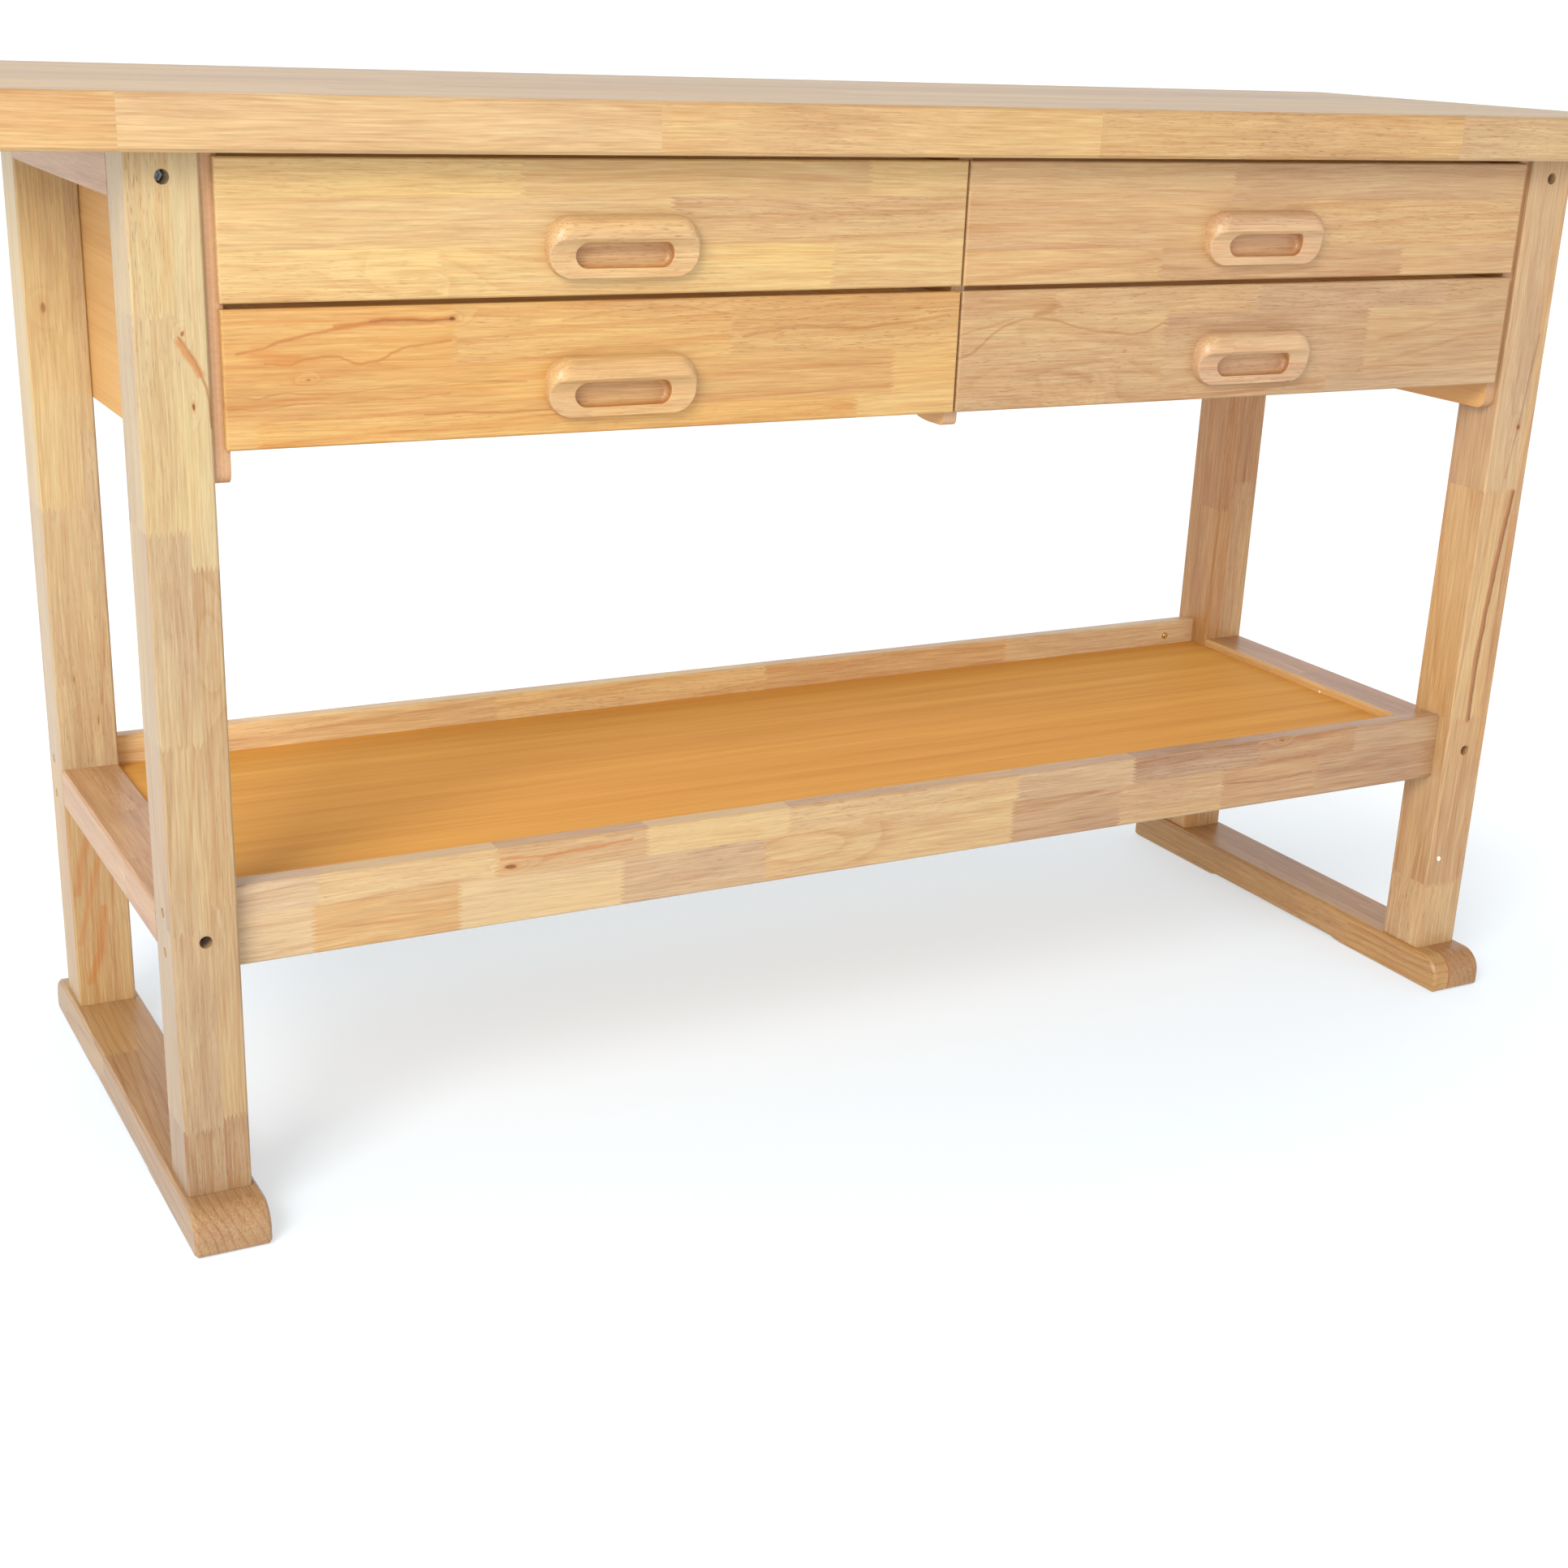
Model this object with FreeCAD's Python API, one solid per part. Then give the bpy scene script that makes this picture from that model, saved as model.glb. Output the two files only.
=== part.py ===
import FreeCAD, Part
import math
import os

# Four-drawer workbench with trestle feet, a low shelf and milled wooden pulls.
# X runs to the right along the bench, Y to the back, Z up; the origin is on the floor
# under the middle of the bench. All lengths are in millimetres.

V = FreeCAD.Vector
AXIS_X = V(1, 0, 0)
AXIS_Y = V(0, 1, 0)
AXIS_Z = V(0, 0, 1)

# Overall sizes
bench_height = 864.0
top_length = 1524.0
top_depth = 508.0
top_thickness = 38.0
top_corner_bevel = 5.0
top_edge_bevel = 2.5
top_end_overhang = 95.0     # past the outer faces of the legs
top_side_overhang = 31.0    # past the front and back faces of the legs

# Legs and feet
leg_width = 51.0
leg_depth = 52.0
leg_edge_bevel = 1.5
foot_height = 36.0
foot_reach = 36.5           # past the front and back faces of the legs
foot_ledge = 5.0            # the foot is this much wider than the leg on each side
foot_nose_radius = 22.0
foot_toe_radius = 5.0
foot_edge_bevel = 2.5
foot_pad_length = 145.0
foot_relief_depth = 4.0
foot_relief_slope = 14.0

# Rails
end_rail_height = 35.0
lower_end_rail_rise = 13.0  # above the lower edges of the long rails
end_rail_edge_bevel = 2.0
long_rail_bottom = 220.0
long_rail_height = 66.0
long_rail_edge_bevel = 1.5
front_rail_thickness = 19.0
front_rail_setback = 16.0   # behind the front faces of the legs
rear_rail_thickness = 16.0
rear_rail_setback = 11.5    # in front of the back faces of the legs

# Shelf
shelf_drop = 26.0           # below the upper edges of the long rails
shelf_thickness = 9.0
cleat_width = 20.0
cleat_height = 18.0
cleat_end_gap = 60.0

# Case
panel_thickness = 13.0
panel_bottom = 597.0
panel_setback = 5.5         # behind the front faces of the legs
panel_toe_radius = 9.0
back_panel_setback = 3.0    # in front of the back faces of the legs
divider_nose_bottom = 610.0
divider_bottom = 634.0
divider_nose_length = 22.0
divider_ogee_length = 90.0
divider_toe_radius = 5.0

# Drawers
front_height = 98.0
front_thickness = 16.0
front_lip = 6.5             # thickness of the lip that covers the case edges
front_edge_bevel = 1.2
front_overlay = 4.0         # how far a front covers a side panel
front_clearance = 0.5       # between the lip and the case edges
fronts_gap = 2.0            # between the left and the right front
row_gap = 4.0               # between the rows and under the top
side_thickness = 19.0
side_height = 91.0
side_drop = 2.0             # top edge of the sides below the top edge of the front
box_gap = 7.5               # between a drawer side and the case beside it
box_back_gap = 30.0         # between a closed drawer and the back panel
bottom_thickness = 5.0
bottom_rise = 6.0           # underside of the bottom above the lower edge of the sides
bottom_groove_depth = 6.0
back_thickness = 16.0
back_dado_depth = 5.0
slide_groove_depth = 8.5
slide_groove_height = 17.0
slide_groove_stop = 24.0    # the groove ends this far behind the lip
slide_play_above = 0.4
slide_play_below = 0.6
slide_play_side = 1.0
slide_strip_gap = 40.0      # between a strip and the back panel

# Pull: a thick rounded block, its lower half coved away along X and a finger pocket cut in
pull_length = 123.0
pull_height = 45.0
pull_rise = 13.0            # above the lower edge of the drawer front
pull_corner_radius = 19.0
pull_thickness = 17.0
pull_round_radius = 12.0    # the front face rolls over to the upper edge and the ends
pull_crest_rise = 29.5      # height of the crest above the block's lower edge
pull_cove_floor = 8.6       # thickness at the foot of the cove's curve
pull_cove_rise = 16.0       # height of that line
pull_cove_sag = 2.0         # hollow of the cove's curve under a straight line
pull_bottom_edge = 8.0      # thickness at the lower edge
pull_pocket_length = 80.0
pull_pocket_height = 19.0
pull_pocket_rise = 7.5      # above the block's lower edge
pull_pocket_floor = 1.0     # wood left behind the pocket

# Fasteners
bolt_diameter = 6.0
bolt_length = 88.0
bolt_head_diameter = 9.4
bolt_head_height = 6.0
bolt_socket_width = 5.0
bolt_socket_depth = 3.5
bolt_recess_diameter = 10.0
bolt_recess_depth = 24.0
barrel_nut_diameter = 10.0
barrel_nut_length = 18.0
barrel_nut_inset = 34.0     # from the end of the rail to the axis of the nut
stretcher_screw_diameter = 5.0
stretcher_head_diameter = 7.6
stretcher_head_height = 3.0
stretcher_screw_length = 75.0
stretcher_plug_diameter = 8.0
stretcher_plug_depth = 5.0      # from the leg's face to the screw head
stretcher_plug_inset = 2.0      # the plug's face lies this far inside the leg's
stretcher_screw_shares = (0.25, 0.75)
foot_screw_diameter = 8.0
foot_screw_head_diameter = 13.0
foot_screw_head_height = 5.0
foot_screw_length = 75.0
foot_screw_recess_diameter = 15.0
foot_screw_recess_depth = 10.0
top_screw_diameter = 6.0
top_screw_head_diameter = 11.0
top_screw_head_height = 4.0
top_screw_length = 58.0
top_screw_clearance = 8.4   # from the tip of a rail bolt to the axis of a top screw
wood_screw_diameter = 4.0
wood_screw_head_diameter = 7.6
wood_screw_head_height = 2.4
shelf_screw_cover = 3.0     # wood of the shelf left over a screw's tip
shelf_screw_shares = (-0.9, 0.0, 0.9)
case_screw_length = 30.0
case_screw_rise = 36.0      # from the panel's lower edge and from its top
back_screw_shares = (0.12, 0.5, 0.88)
rear_rail_screw_inset = 40.0
rear_rail_screw_drop = 16.0 # below the upper edge of the rail
rear_rail_screw_head = 8.5
rear_rail_screw_dome = 2.6
rear_rail_screw_length = 12.0
pull_screw_length = 20.0
pull_screw_spread = 88.0
pull_screw_rise = 32.0      # above the block's lower edge
pull_screw_head_diameter = 8.0
pull_screw_dome = 2.2
fastener_sides = 6
plug_sides = 12
dome_crown_share = 0.6      # width of the flat crown of a domed head, of the head's width

overrun = 1.0               # how far a cutting solid passes the face that it cuts

# Derived places
frame_length = top_length - 2 * top_end_overhang
frame_depth = top_depth - 2 * top_side_overhang
foot_length = frame_depth + 2 * foot_reach
top_underside = bench_height - top_thickness
leg_outer = frame_length / 2
leg_inner = leg_outer - leg_width
frame_front = -frame_depth / 2
frame_back = frame_depth / 2
leg_middle = frame_depth / 2 - leg_depth / 2
panel_inner = leg_inner - panel_thickness
panel_front = frame_front + panel_setback
back_panel_back = frame_back - back_panel_setback
back_panel_front = back_panel_back - panel_thickness
divider_face = panel_thickness / 2
long_rail_top = long_rail_bottom + long_rail_height
lower_end_rail_bottom = long_rail_bottom + lower_end_rail_rise
shelf_top = long_rail_top - shelf_drop
front_rail_front = frame_front + front_rail_setback
front_rail_back = front_rail_front + front_rail_thickness
rear_rail_back = frame_back - rear_rail_setback
rear_rail_front = rear_rail_back - rear_rail_thickness
lip_back = panel_front - front_clearance
front_face = lip_back - front_lip
box_length = back_panel_front - box_back_gap - lip_back
front_outer = panel_inner + front_overlay
front_inner = fronts_gap / 2
box_outer = panel_inner - box_gap
box_inner = divider_face + box_gap
front_middle = (front_outer + front_inner) / 2
upper_front_bottom = top_underside - row_gap - front_height
lower_front_bottom = upper_front_bottom - row_gap - front_height
row_bottoms = {"lower": lower_front_bottom, "upper": upper_front_bottom}
side_drop_bottom = front_height - side_drop - side_height
groove_rise = side_drop_bottom + (side_height - slide_groove_height) / 2
strip_height = slide_groove_height - slide_play_above - slide_play_below
strip_width = box_gap + slide_groove_depth - slide_play_side
strip_front = lip_back + slide_groove_stop + slide_play_side
strip_length = back_panel_front - slide_strip_gap - strip_front
sides = {"left": -1, "right": 1}
ends = {"front": -1, "rear": 1}
nodes = {}


def block(x0, x1, y0, y1, z0, z1):
    """A box between two corners, given in any order."""
    low = V(min(x0, x1), min(y0, y1), min(z0, z1))
    return Part.makeBox(abs(x1 - x0), abs(y1 - y0), abs(z1 - z0), low)


def along(edge, axis):
    """True where a straight edge runs along an axis."""
    if not isinstance(edge.Curve, (Part.Line, Part.LineSegment)):
        return False
    run = edge.Vertexes[-1].Point.sub(edge.Vertexes[0].Point)
    return abs(run.dot(axis)) > run.Length * 0.999


def bevelled(shape, width, axis):
    """The shape with every straight edge along an axis bevelled."""
    return shape.makeChamfer(width, [e for e in shape.Edges if along(e, axis)])


def rod(diameter, length, base, axis):
    return Part.makeCylinder(diameter / 2, length, base, axis)


def stood(solid, base, axis):
    """A solid made upright at the origin, moved to base with its height along axis."""
    solid.Placement = FreeCAD.Placement(base, FreeCAD.Rotation(AXIS_Z, axis))
    return solid


def ring(diameter, height, sides):
    """The corners of a regular polygon on a circle round the Z axis."""
    turn = 2 * math.pi / sides
    radius = diameter / 2
    return [V(radius * math.cos(k * turn), radius * math.sin(k * turn), height) for k in range(sides + 1)]


def faceted(outline, base, axis, sides=fastener_sides):
    """A flat-sided solid through (diameter, height) pairs, standing on base along axis."""
    rings = [ring(diameter, height, sides) for diameter, height in outline]
    faces = [Part.Face(Part.makePolygon(rings[0])), Part.Face(Part.makePolygon(rings[-1]))]
    for low, high in zip(rings, rings[1:]):
        for k in range(sides):
            faces.append(Part.Face(Part.makePolygon([low[k], low[k + 1], high[k + 1], high[k], low[k]])))
    return stood(Part.Solid(Part.Shell(faces)), base, axis)


def flat_head_screw(base, axis, length, diameter=wood_screw_diameter,
                    head=wood_screw_head_diameter, head_height=wood_screw_head_height):
    """A countersunk screw: base is the middle of its flush head, axis points to its tip."""
    return faceted([(head, 0), (diameter, head_height), (diameter, length)], base, axis)


def cap_screw(base, axis, length, diameter, head, head_height):
    """A screw with a straight-sided head: base is the underside of the head."""
    return faceted([(head, -head_height), (head, 0), (diameter, 0), (diameter, length)], base, axis)


def dome_head_screw(base, axis, length, head, dome):
    """A screw with a domed head: base is on the face under the head."""
    return faceted([(head * dome_crown_share, -dome), (head, 0), (wood_screw_diameter, 0),
                    (wood_screw_diameter, length)], base, axis)


def group(solids):
    return Part.makeCompound(solids)


def seated(piece, *fasteners):
    """The piece with the seats of its fasteners cut into it."""
    for fastener in fasteners:
        piece = piece.cut(fastener)
    return piece


# Fasteners of the frame
def end_rail_centres():
    lower = lower_end_rail_bottom + end_rail_height / 2
    upper = top_underside - end_rail_height / 2
    return lower, upper


def end_rail_bolts():
    """Socket bolts through the legs along Y into barrel nuts in the end rails."""
    bolts = []
    nuts = []
    recesses = []
    rail_end = frame_depth / 2 - leg_depth
    for side in sides.values():
        x = side * (leg_outer - leg_width / 2)
        for end in ends.values():
            inward = AXIS_Y * -end
            for z in end_rail_centres():
                seat = V(x, end * (frame_depth / 2 - bolt_recess_depth), z)
                bolt = cap_screw(seat, inward, bolt_length, bolt_diameter,
                                 bolt_head_diameter, bolt_head_height)
                socket = hexagon(seat - inward * bolt_head_height, inward)
                bolts.append(bolt.cut(socket))
                nut = faceted([(barrel_nut_diameter, 0), (barrel_nut_diameter, barrel_nut_length)],
                              V(x, end * (rail_end - barrel_nut_inset), z - barrel_nut_length / 2), AXIS_Z)
                nuts.append(nut.cut(bolt))
                mouth = V(x, end * (frame_depth / 2 + overrun), z)
                recesses.append(rod(bolt_recess_diameter, bolt_recess_depth + overrun, mouth, inward).fuse(
                    faceted([(bolt_diameter, 0), (bolt_diameter, bolt_length)], seat, inward)))
    return group(bolts), group(nuts), group(recesses)


def hexagon(base, axis):
    """The hexagon socket in a bolt head, sunk from base along axis."""
    corners = bolt_socket_width / math.cos(math.pi / 6)
    return faceted([(corners, -overrun), (corners, bolt_socket_depth)], base, axis, 6)


def barrel_nut_bores():
    """Bores from the underside of each end rail up to the far end of its barrel nuts."""
    bores = []
    rail_end = frame_depth / 2 - leg_depth
    for side in sides.values():
        x = side * (leg_outer - leg_width / 2)
        for end in ends.values():
            for z in end_rail_centres():
                base = V(x, end * (rail_end - barrel_nut_inset), z - end_rail_height / 2 - overrun)
                depth = end_rail_height / 2 + barrel_nut_length / 2 + overrun
                bores.append(faceted([(barrel_nut_diameter, 0), (barrel_nut_diameter, depth)],
                                     base, AXIS_Z))
    return group(bores)


def stretcher_screws():
    """Screws through the legs into the long rails, the plugs over them and the mouths of the bores."""
    screws = []
    plugs = []
    mouths = []
    middles = (front_rail_front + front_rail_thickness / 2, rear_rail_front + rear_rail_thickness / 2)
    for side in sides.values():
        inward = AXIS_X * -side
        for y in middles:
            for share in stretcher_screw_shares:
                place = V(side * leg_outer, y, long_rail_bottom + share * long_rail_height)
                screws.append(flat_head_screw(place + inward * stretcher_plug_depth, inward,
                                              stretcher_screw_length, stretcher_screw_diameter,
                                              stretcher_head_diameter, stretcher_head_height))
                plugs.append(faceted([(stretcher_plug_diameter, stretcher_plug_inset),
                                      (stretcher_plug_diameter, stretcher_plug_depth)],
                                     place, inward, plug_sides))
                mouths.append(faceted([(stretcher_plug_diameter, -overrun),
                                       (stretcher_plug_diameter, stretcher_plug_inset)],
                                      place, inward, plug_sides))
    return group(screws), group(plugs), group(mouths)


def foot_screws():
    """Screws from recesses under the feet up into the legs."""
    screws = []
    recesses = []
    for side in sides.values():
        for end in ends.values():
            x = side * (leg_outer - leg_width / 2)
            y = end * leg_middle
            screws.append(cap_screw(V(x, y, foot_screw_recess_depth), AXIS_Z, foot_screw_length,
                                    foot_screw_diameter, foot_screw_head_diameter,
                                    foot_screw_head_height))
            recesses.append(faceted([(foot_screw_recess_diameter, 0),
                                     (foot_screw_recess_diameter, foot_screw_recess_depth + overrun)],
                                    V(x, y, -overrun), AXIS_Z, plug_sides))
    return group(screws), group(recesses)


def top_screws():
    """Screws up through the upper end rails into the top."""
    screws = []
    reach = frame_depth / 2 - bolt_recess_depth - bolt_length - top_screw_clearance
    for side in sides.values():
        for end in ends.values():
            base = V(side * (leg_outer - leg_width / 2), end * reach, top_underside - end_rail_height)
            screws.append(flat_head_screw(base, AXIS_Z, top_screw_length, top_screw_diameter,
                                          top_screw_head_diameter, top_screw_head_height))
    return group(screws)


def shelf_screws():
    """Screws up through the two cleats into the shelf."""
    screws = []
    reach = leg_inner - cleat_end_gap
    for y in (front_rail_back + cleat_width / 2, rear_rail_front - cleat_width / 2):
        for share in shelf_screw_shares:
            screws.append(flat_head_screw(V(share * reach, y, shelf_top - shelf_thickness - cleat_height),
                                          AXIS_Z, cleat_height + shelf_thickness - shelf_screw_cover))
    return group(screws)


def rear_rail_screws():
    """Domed screws in the front face of the rear rail, near its ends."""
    screws = []
    for side in sides.values():
        base = V(side * (leg_inner - rear_rail_screw_inset), rear_rail_front,
                 long_rail_top - rear_rail_screw_drop)
        screws.append(dome_head_screw(base, AXIS_Y, rear_rail_screw_length,
                                      rear_rail_screw_head, rear_rail_screw_dome))
    return group(screws)


def case_screws():
    """Screws that hold the side panels to the legs and the back panel to their rear edges."""
    screws = []
    low = panel_bottom + case_screw_rise
    high = top_underside - case_screw_rise
    for side in sides.values():
        for end in ends.values():
            for z in (low, high):
                screws.append(flat_head_screw(V(side * panel_inner, end * leg_middle, z),
                                              AXIS_X * side, case_screw_length))
        for share in back_screw_shares:
            z = panel_bottom + share * (top_underside - panel_bottom)
            x = side * (leg_inner - panel_thickness / 2)
            screws.append(flat_head_screw(V(x, back_panel_back, z), AXIS_Y * -1, case_screw_length))
    return group(screws)


# Frame pieces
def foot(side):
    """A trestle foot: long nose curves, a relieved underside between two pads."""
    width = leg_width + 2 * foot_ledge
    x = side * (leg_outer - leg_width / 2)
    half = foot_length / 2
    slab = block(x - width / 2, x + width / 2, -half, half, 0, foot_height)
    noses = [e for e in slab.Edges if along(e, AXIS_X) and e.CenterOfMass.z > foot_height / 2]
    slab = slab.makeFillet(foot_nose_radius, noses)
    toes = [e for e in slab.Edges if along(e, AXIS_X) and abs(e.CenterOfMass.z) < overrun / 2]
    slab = slab.makeFillet(foot_toe_radius, toes)
    rims = [e for e in slab.Edges if not along(e, AXIS_X)
            and (e.CenterOfMass.z > overrun or not along(e, AXIS_Y))]
    slab = slab.makeChamfer(foot_edge_bevel, rims)
    inner = half - foot_pad_length
    relief = Part.makePolygon([V(x - width, -inner, -overrun), V(x - width, -inner, 0),
                               V(x - width, -inner + foot_relief_slope, foot_relief_depth),
                               V(x - width, inner - foot_relief_slope, foot_relief_depth),
                               V(x - width, inner, 0), V(x - width, inner, -overrun),
                               V(x - width, -inner, -overrun)])
    return slab.cut(Part.Face(relief).extrude(AXIS_X * (2 * width)))


def leg(side, end):
    shape = block(side * leg_outer, side * leg_inner, end * frame_depth / 2,
                  end * (frame_depth / 2 - leg_depth), foot_height, top_underside)
    return bevelled(shape, leg_edge_bevel, AXIS_Z)


def end_rail(side, bottom):
    reach = frame_depth / 2 - leg_depth
    shape = block(side * leg_outer, side * leg_inner, -reach, reach, bottom, bottom + end_rail_height)
    return bevelled(shape, end_rail_edge_bevel, AXIS_Y)


def long_rail(front, thickness):
    shape = block(-leg_inner, leg_inner, front, front + thickness, long_rail_bottom,
                  long_rail_top)
    return bevelled(shape, long_rail_edge_bevel, AXIS_X)


def cleat(face, inward):
    """A strip on the inner face of a long rail, under the shelf."""
    reach = leg_inner - cleat_end_gap / 2
    top = shelf_top - shelf_thickness
    return block(-reach, reach, face, face + inward * cleat_width, top - cleat_height, top)


def shelf():
    """The shelf lies between the long rails and runs past the legs to the end rails."""
    return block(-leg_inner, leg_inner, front_rail_back, rear_rail_front,
                 shelf_top - shelf_thickness, shelf_top)


def tabletop():
    half = top_length / 2
    deep = top_depth / 2
    slab = block(-half, half, -deep, deep, top_underside, bench_height)
    slab = bevelled(slab, top_corner_bevel, AXIS_Z)
    rims = [e for e in slab.Edges if abs(e.BoundBox.ZLength) < overrun]
    return slab.makeChamfer(top_edge_bevel, rims)


# Case pieces
def toe_cut(shape, front, bottom, radius):
    """Rounds the lower front corner of an upright panel."""
    corner = [e for e in shape.Edges if along(e, AXIS_X)
              and abs(e.CenterOfMass.y - front) < overrun / 2
              and abs(e.CenterOfMass.z - bottom) < overrun / 2]
    return shape.makeFillet(radius, corner)


def side_panel(side):
    shape = block(side * leg_inner, side * panel_inner, panel_front, back_panel_front,
                  panel_bottom, top_underside)
    return toe_cut(shape, panel_front, panel_bottom, panel_toe_radius)


def divider():
    """The middle panel: a deeper nose at the front that sweeps up in an ogee."""
    nose_end = panel_front + divider_nose_length
    ogee_end = nose_end + divider_ogee_length
    rise = divider_bottom - divider_nose_bottom
    middle = V(0, (nose_end + ogee_end) / 2, divider_nose_bottom + rise / 2)
    slope = math.hypot(divider_ogee_length / 2, rise / 2)
    radius = slope * slope / rise
    turn = math.asin(divider_ogee_length / 2 / radius) / 2
    low_mid = V(0, nose_end + radius * math.sin(turn), divider_nose_bottom + radius * (1 - math.cos(turn)))
    high_mid = V(0, ogee_end - radius * math.sin(turn), divider_bottom - radius * (1 - math.cos(turn)))
    low_end = V(0, nose_end, divider_nose_bottom)
    high_end = V(0, ogee_end, divider_bottom)
    outline = [Part.LineSegment(V(0, panel_front, divider_nose_bottom), low_end),
               Part.Arc(low_end, low_mid, middle),
               Part.Arc(middle, high_mid, high_end),
               Part.LineSegment(high_end, V(0, back_panel_front, divider_bottom))]
    corners = [V(0, back_panel_front, divider_bottom), V(0, back_panel_front, top_underside),
               V(0, panel_front, top_underside), V(0, panel_front, divider_nose_bottom)]
    outline += [Part.LineSegment(here, there) for here, there in zip(corners, corners[1:])]
    face = Part.Face(Part.Wire([piece.toShape() for piece in outline]))
    shape = face.extrude(AXIS_X * panel_thickness)
    shape.translate(AXIS_X * -divider_face)
    return toe_cut(shape, panel_front, divider_nose_bottom, divider_toe_radius)


def back_panel():
    return block(-leg_inner, leg_inner, back_panel_front, back_panel_back, panel_bottom, top_underside)


def strip(face, inward, bottom):
    """A hardwood strip that a drawer side runs on."""
    z = bottom + groove_rise + slide_play_below
    return block(face, face + inward * strip_width, strip_front, strip_front + strip_length,
                 z, z + strip_height)


# Drawer pieces; each takes the side sign and the lower edge of its front
def drawer_front(side, bottom):
    """A lipped front: the full thickness stands between the drawer sides."""
    lip = block(side * front_inner, side * front_outer, front_face, lip_back,
                bottom, bottom + front_height)
    rims = [e for e in lip.Edges if abs(e.CenterOfMass.y - front_face) < overrun / 2]
    lip = lip.makeChamfer(front_edge_bevel, rims)
    low = bottom + side_drop_bottom
    core = block(side * (box_inner + side_thickness), side * (box_outer - side_thickness),
                 lip_back, front_face + front_thickness, low, low + side_height)
    return lip.fuse(core).removeSplitter().cut(drawer_bottom(side, bottom))


def drawer_side(side, bottom, outer):
    """A drawer side with its slide groove outside and the bottom groove inside."""
    face = side * (box_outer if outer else box_inner)
    inward = -side if outer else side
    low = bottom + side_drop_bottom
    board = block(face, face + inward * side_thickness, lip_back, lip_back + box_length,
                  low, low + side_height)
    groove = block(face - inward * overrun, face + inward * slide_groove_depth,
                   lip_back + slide_groove_stop, lip_back + box_length + overrun,
                   bottom + groove_rise, bottom + groove_rise + slide_groove_height)
    return board.cut(groove).cut(drawer_bottom(side, bottom)).cut(drawer_back(side, bottom))


def drawer_back(side, bottom):
    """The back is housed in the sides and stands on the bottom."""
    reach = side_thickness - back_dado_depth
    low = bottom + side_drop_bottom + bottom_rise + bottom_thickness
    high = bottom + side_drop_bottom + side_height
    rear = lip_back + box_length - back_thickness
    return block(side * (box_inner + reach), side * (box_outer - reach), rear - back_thickness,
                 rear, low, high)


def drawer_bottom(side, bottom):
    reach = side_thickness - bottom_groove_depth
    low = bottom + side_drop_bottom + bottom_rise
    front_groove = front_face + front_thickness - bottom_groove_depth
    return block(side * (box_inner + reach), side * (box_outer - reach), front_groove,
                 lip_back + box_length - back_thickness, low, low + bottom_thickness)


def pull_cove():
    """What the cove cutter takes off in front of the lower half of the pull."""
    front = -pull_thickness - overrun
    crest = V(-pull_length, -pull_thickness, pull_crest_rise)
    root = V(-pull_length, -pull_cove_floor, pull_cove_rise)
    toe = V(-pull_length, -pull_bottom_edge, 0)
    chord = root.sub(crest)
    hollow = V(0, -chord.z, chord.y).normalize() * pull_cove_sag
    middle = (crest + root) * 0.5 + hollow
    outline = [Part.Arc(crest, middle, root), Part.LineSegment(root, toe)]
    corners = [toe, V(-pull_length, -pull_bottom_edge, -overrun), V(-pull_length, front, -overrun),
               V(-pull_length, front, pull_crest_rise), crest]
    outline += [Part.LineSegment(here, there) for here, there in zip(corners, corners[1:])]
    face = Part.Face(Part.Wire([piece.toShape() for piece in outline]))
    return face.extrude(AXIS_X * (2 * pull_length))


def rounded_slab(length, height, radius, depth, rise):
    """A slab with rounded ends, standing out from the plane Y = 0 towards the front."""
    slab = block(-length / 2, length / 2, -depth, 0, rise, rise + height)
    return slab.makeFillet(radius, [e for e in slab.Edges if along(e, AXIS_Y)])


def pull(side, bottom):
    """The milled pull: a rounded block, coved below its crest, with its finger pocket."""
    body = rounded_slab(pull_length, pull_height, pull_corner_radius, pull_thickness, 0)
    crowned = block(-pull_length, pull_length, -pull_thickness, overrun, -overrun, pull_height)
    crowned = crowned.makeFillet(pull_round_radius, [e for e in crowned.Edges if along(e, AXIS_X)
                                                     and e.CenterOfMass.y < 0 < e.CenterOfMass.z])
    ended = block(-pull_length / 2, pull_length / 2, -pull_thickness, overrun, -overrun,
                  pull_height + overrun)
    ended = ended.makeFillet(pull_round_radius, [e for e in ended.Edges if along(e, AXIS_Z)
                                                 and e.CenterOfMass.y < 0])
    body = body.common(crowned).common(ended).cut(pull_cove())
    pocket = rounded_slab(pull_pocket_length, pull_pocket_height,
                          pull_pocket_height / 2 - overrun / 2, pull_thickness + overrun, pull_pocket_rise)
    pocket.translate(AXIS_Y * -pull_pocket_floor)
    body = body.cut(pocket)
    body.translate(V(side * front_middle, front_face, bottom + pull_rise))
    return body


def pull_screws(side, bottom):
    """Two domed screws from inside the drawer through the front into the pull."""
    screws = []
    z = bottom + pull_rise + pull_screw_rise
    for hand in sides.values():
        base = V(side * front_middle + hand * pull_screw_spread / 2, front_face + front_thickness, z)
        screws.append(dome_head_screw(base, AXIS_Y * -1, pull_screw_length,
                                      pull_screw_head_diameter, pull_screw_dome))
    return group(screws)


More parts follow.
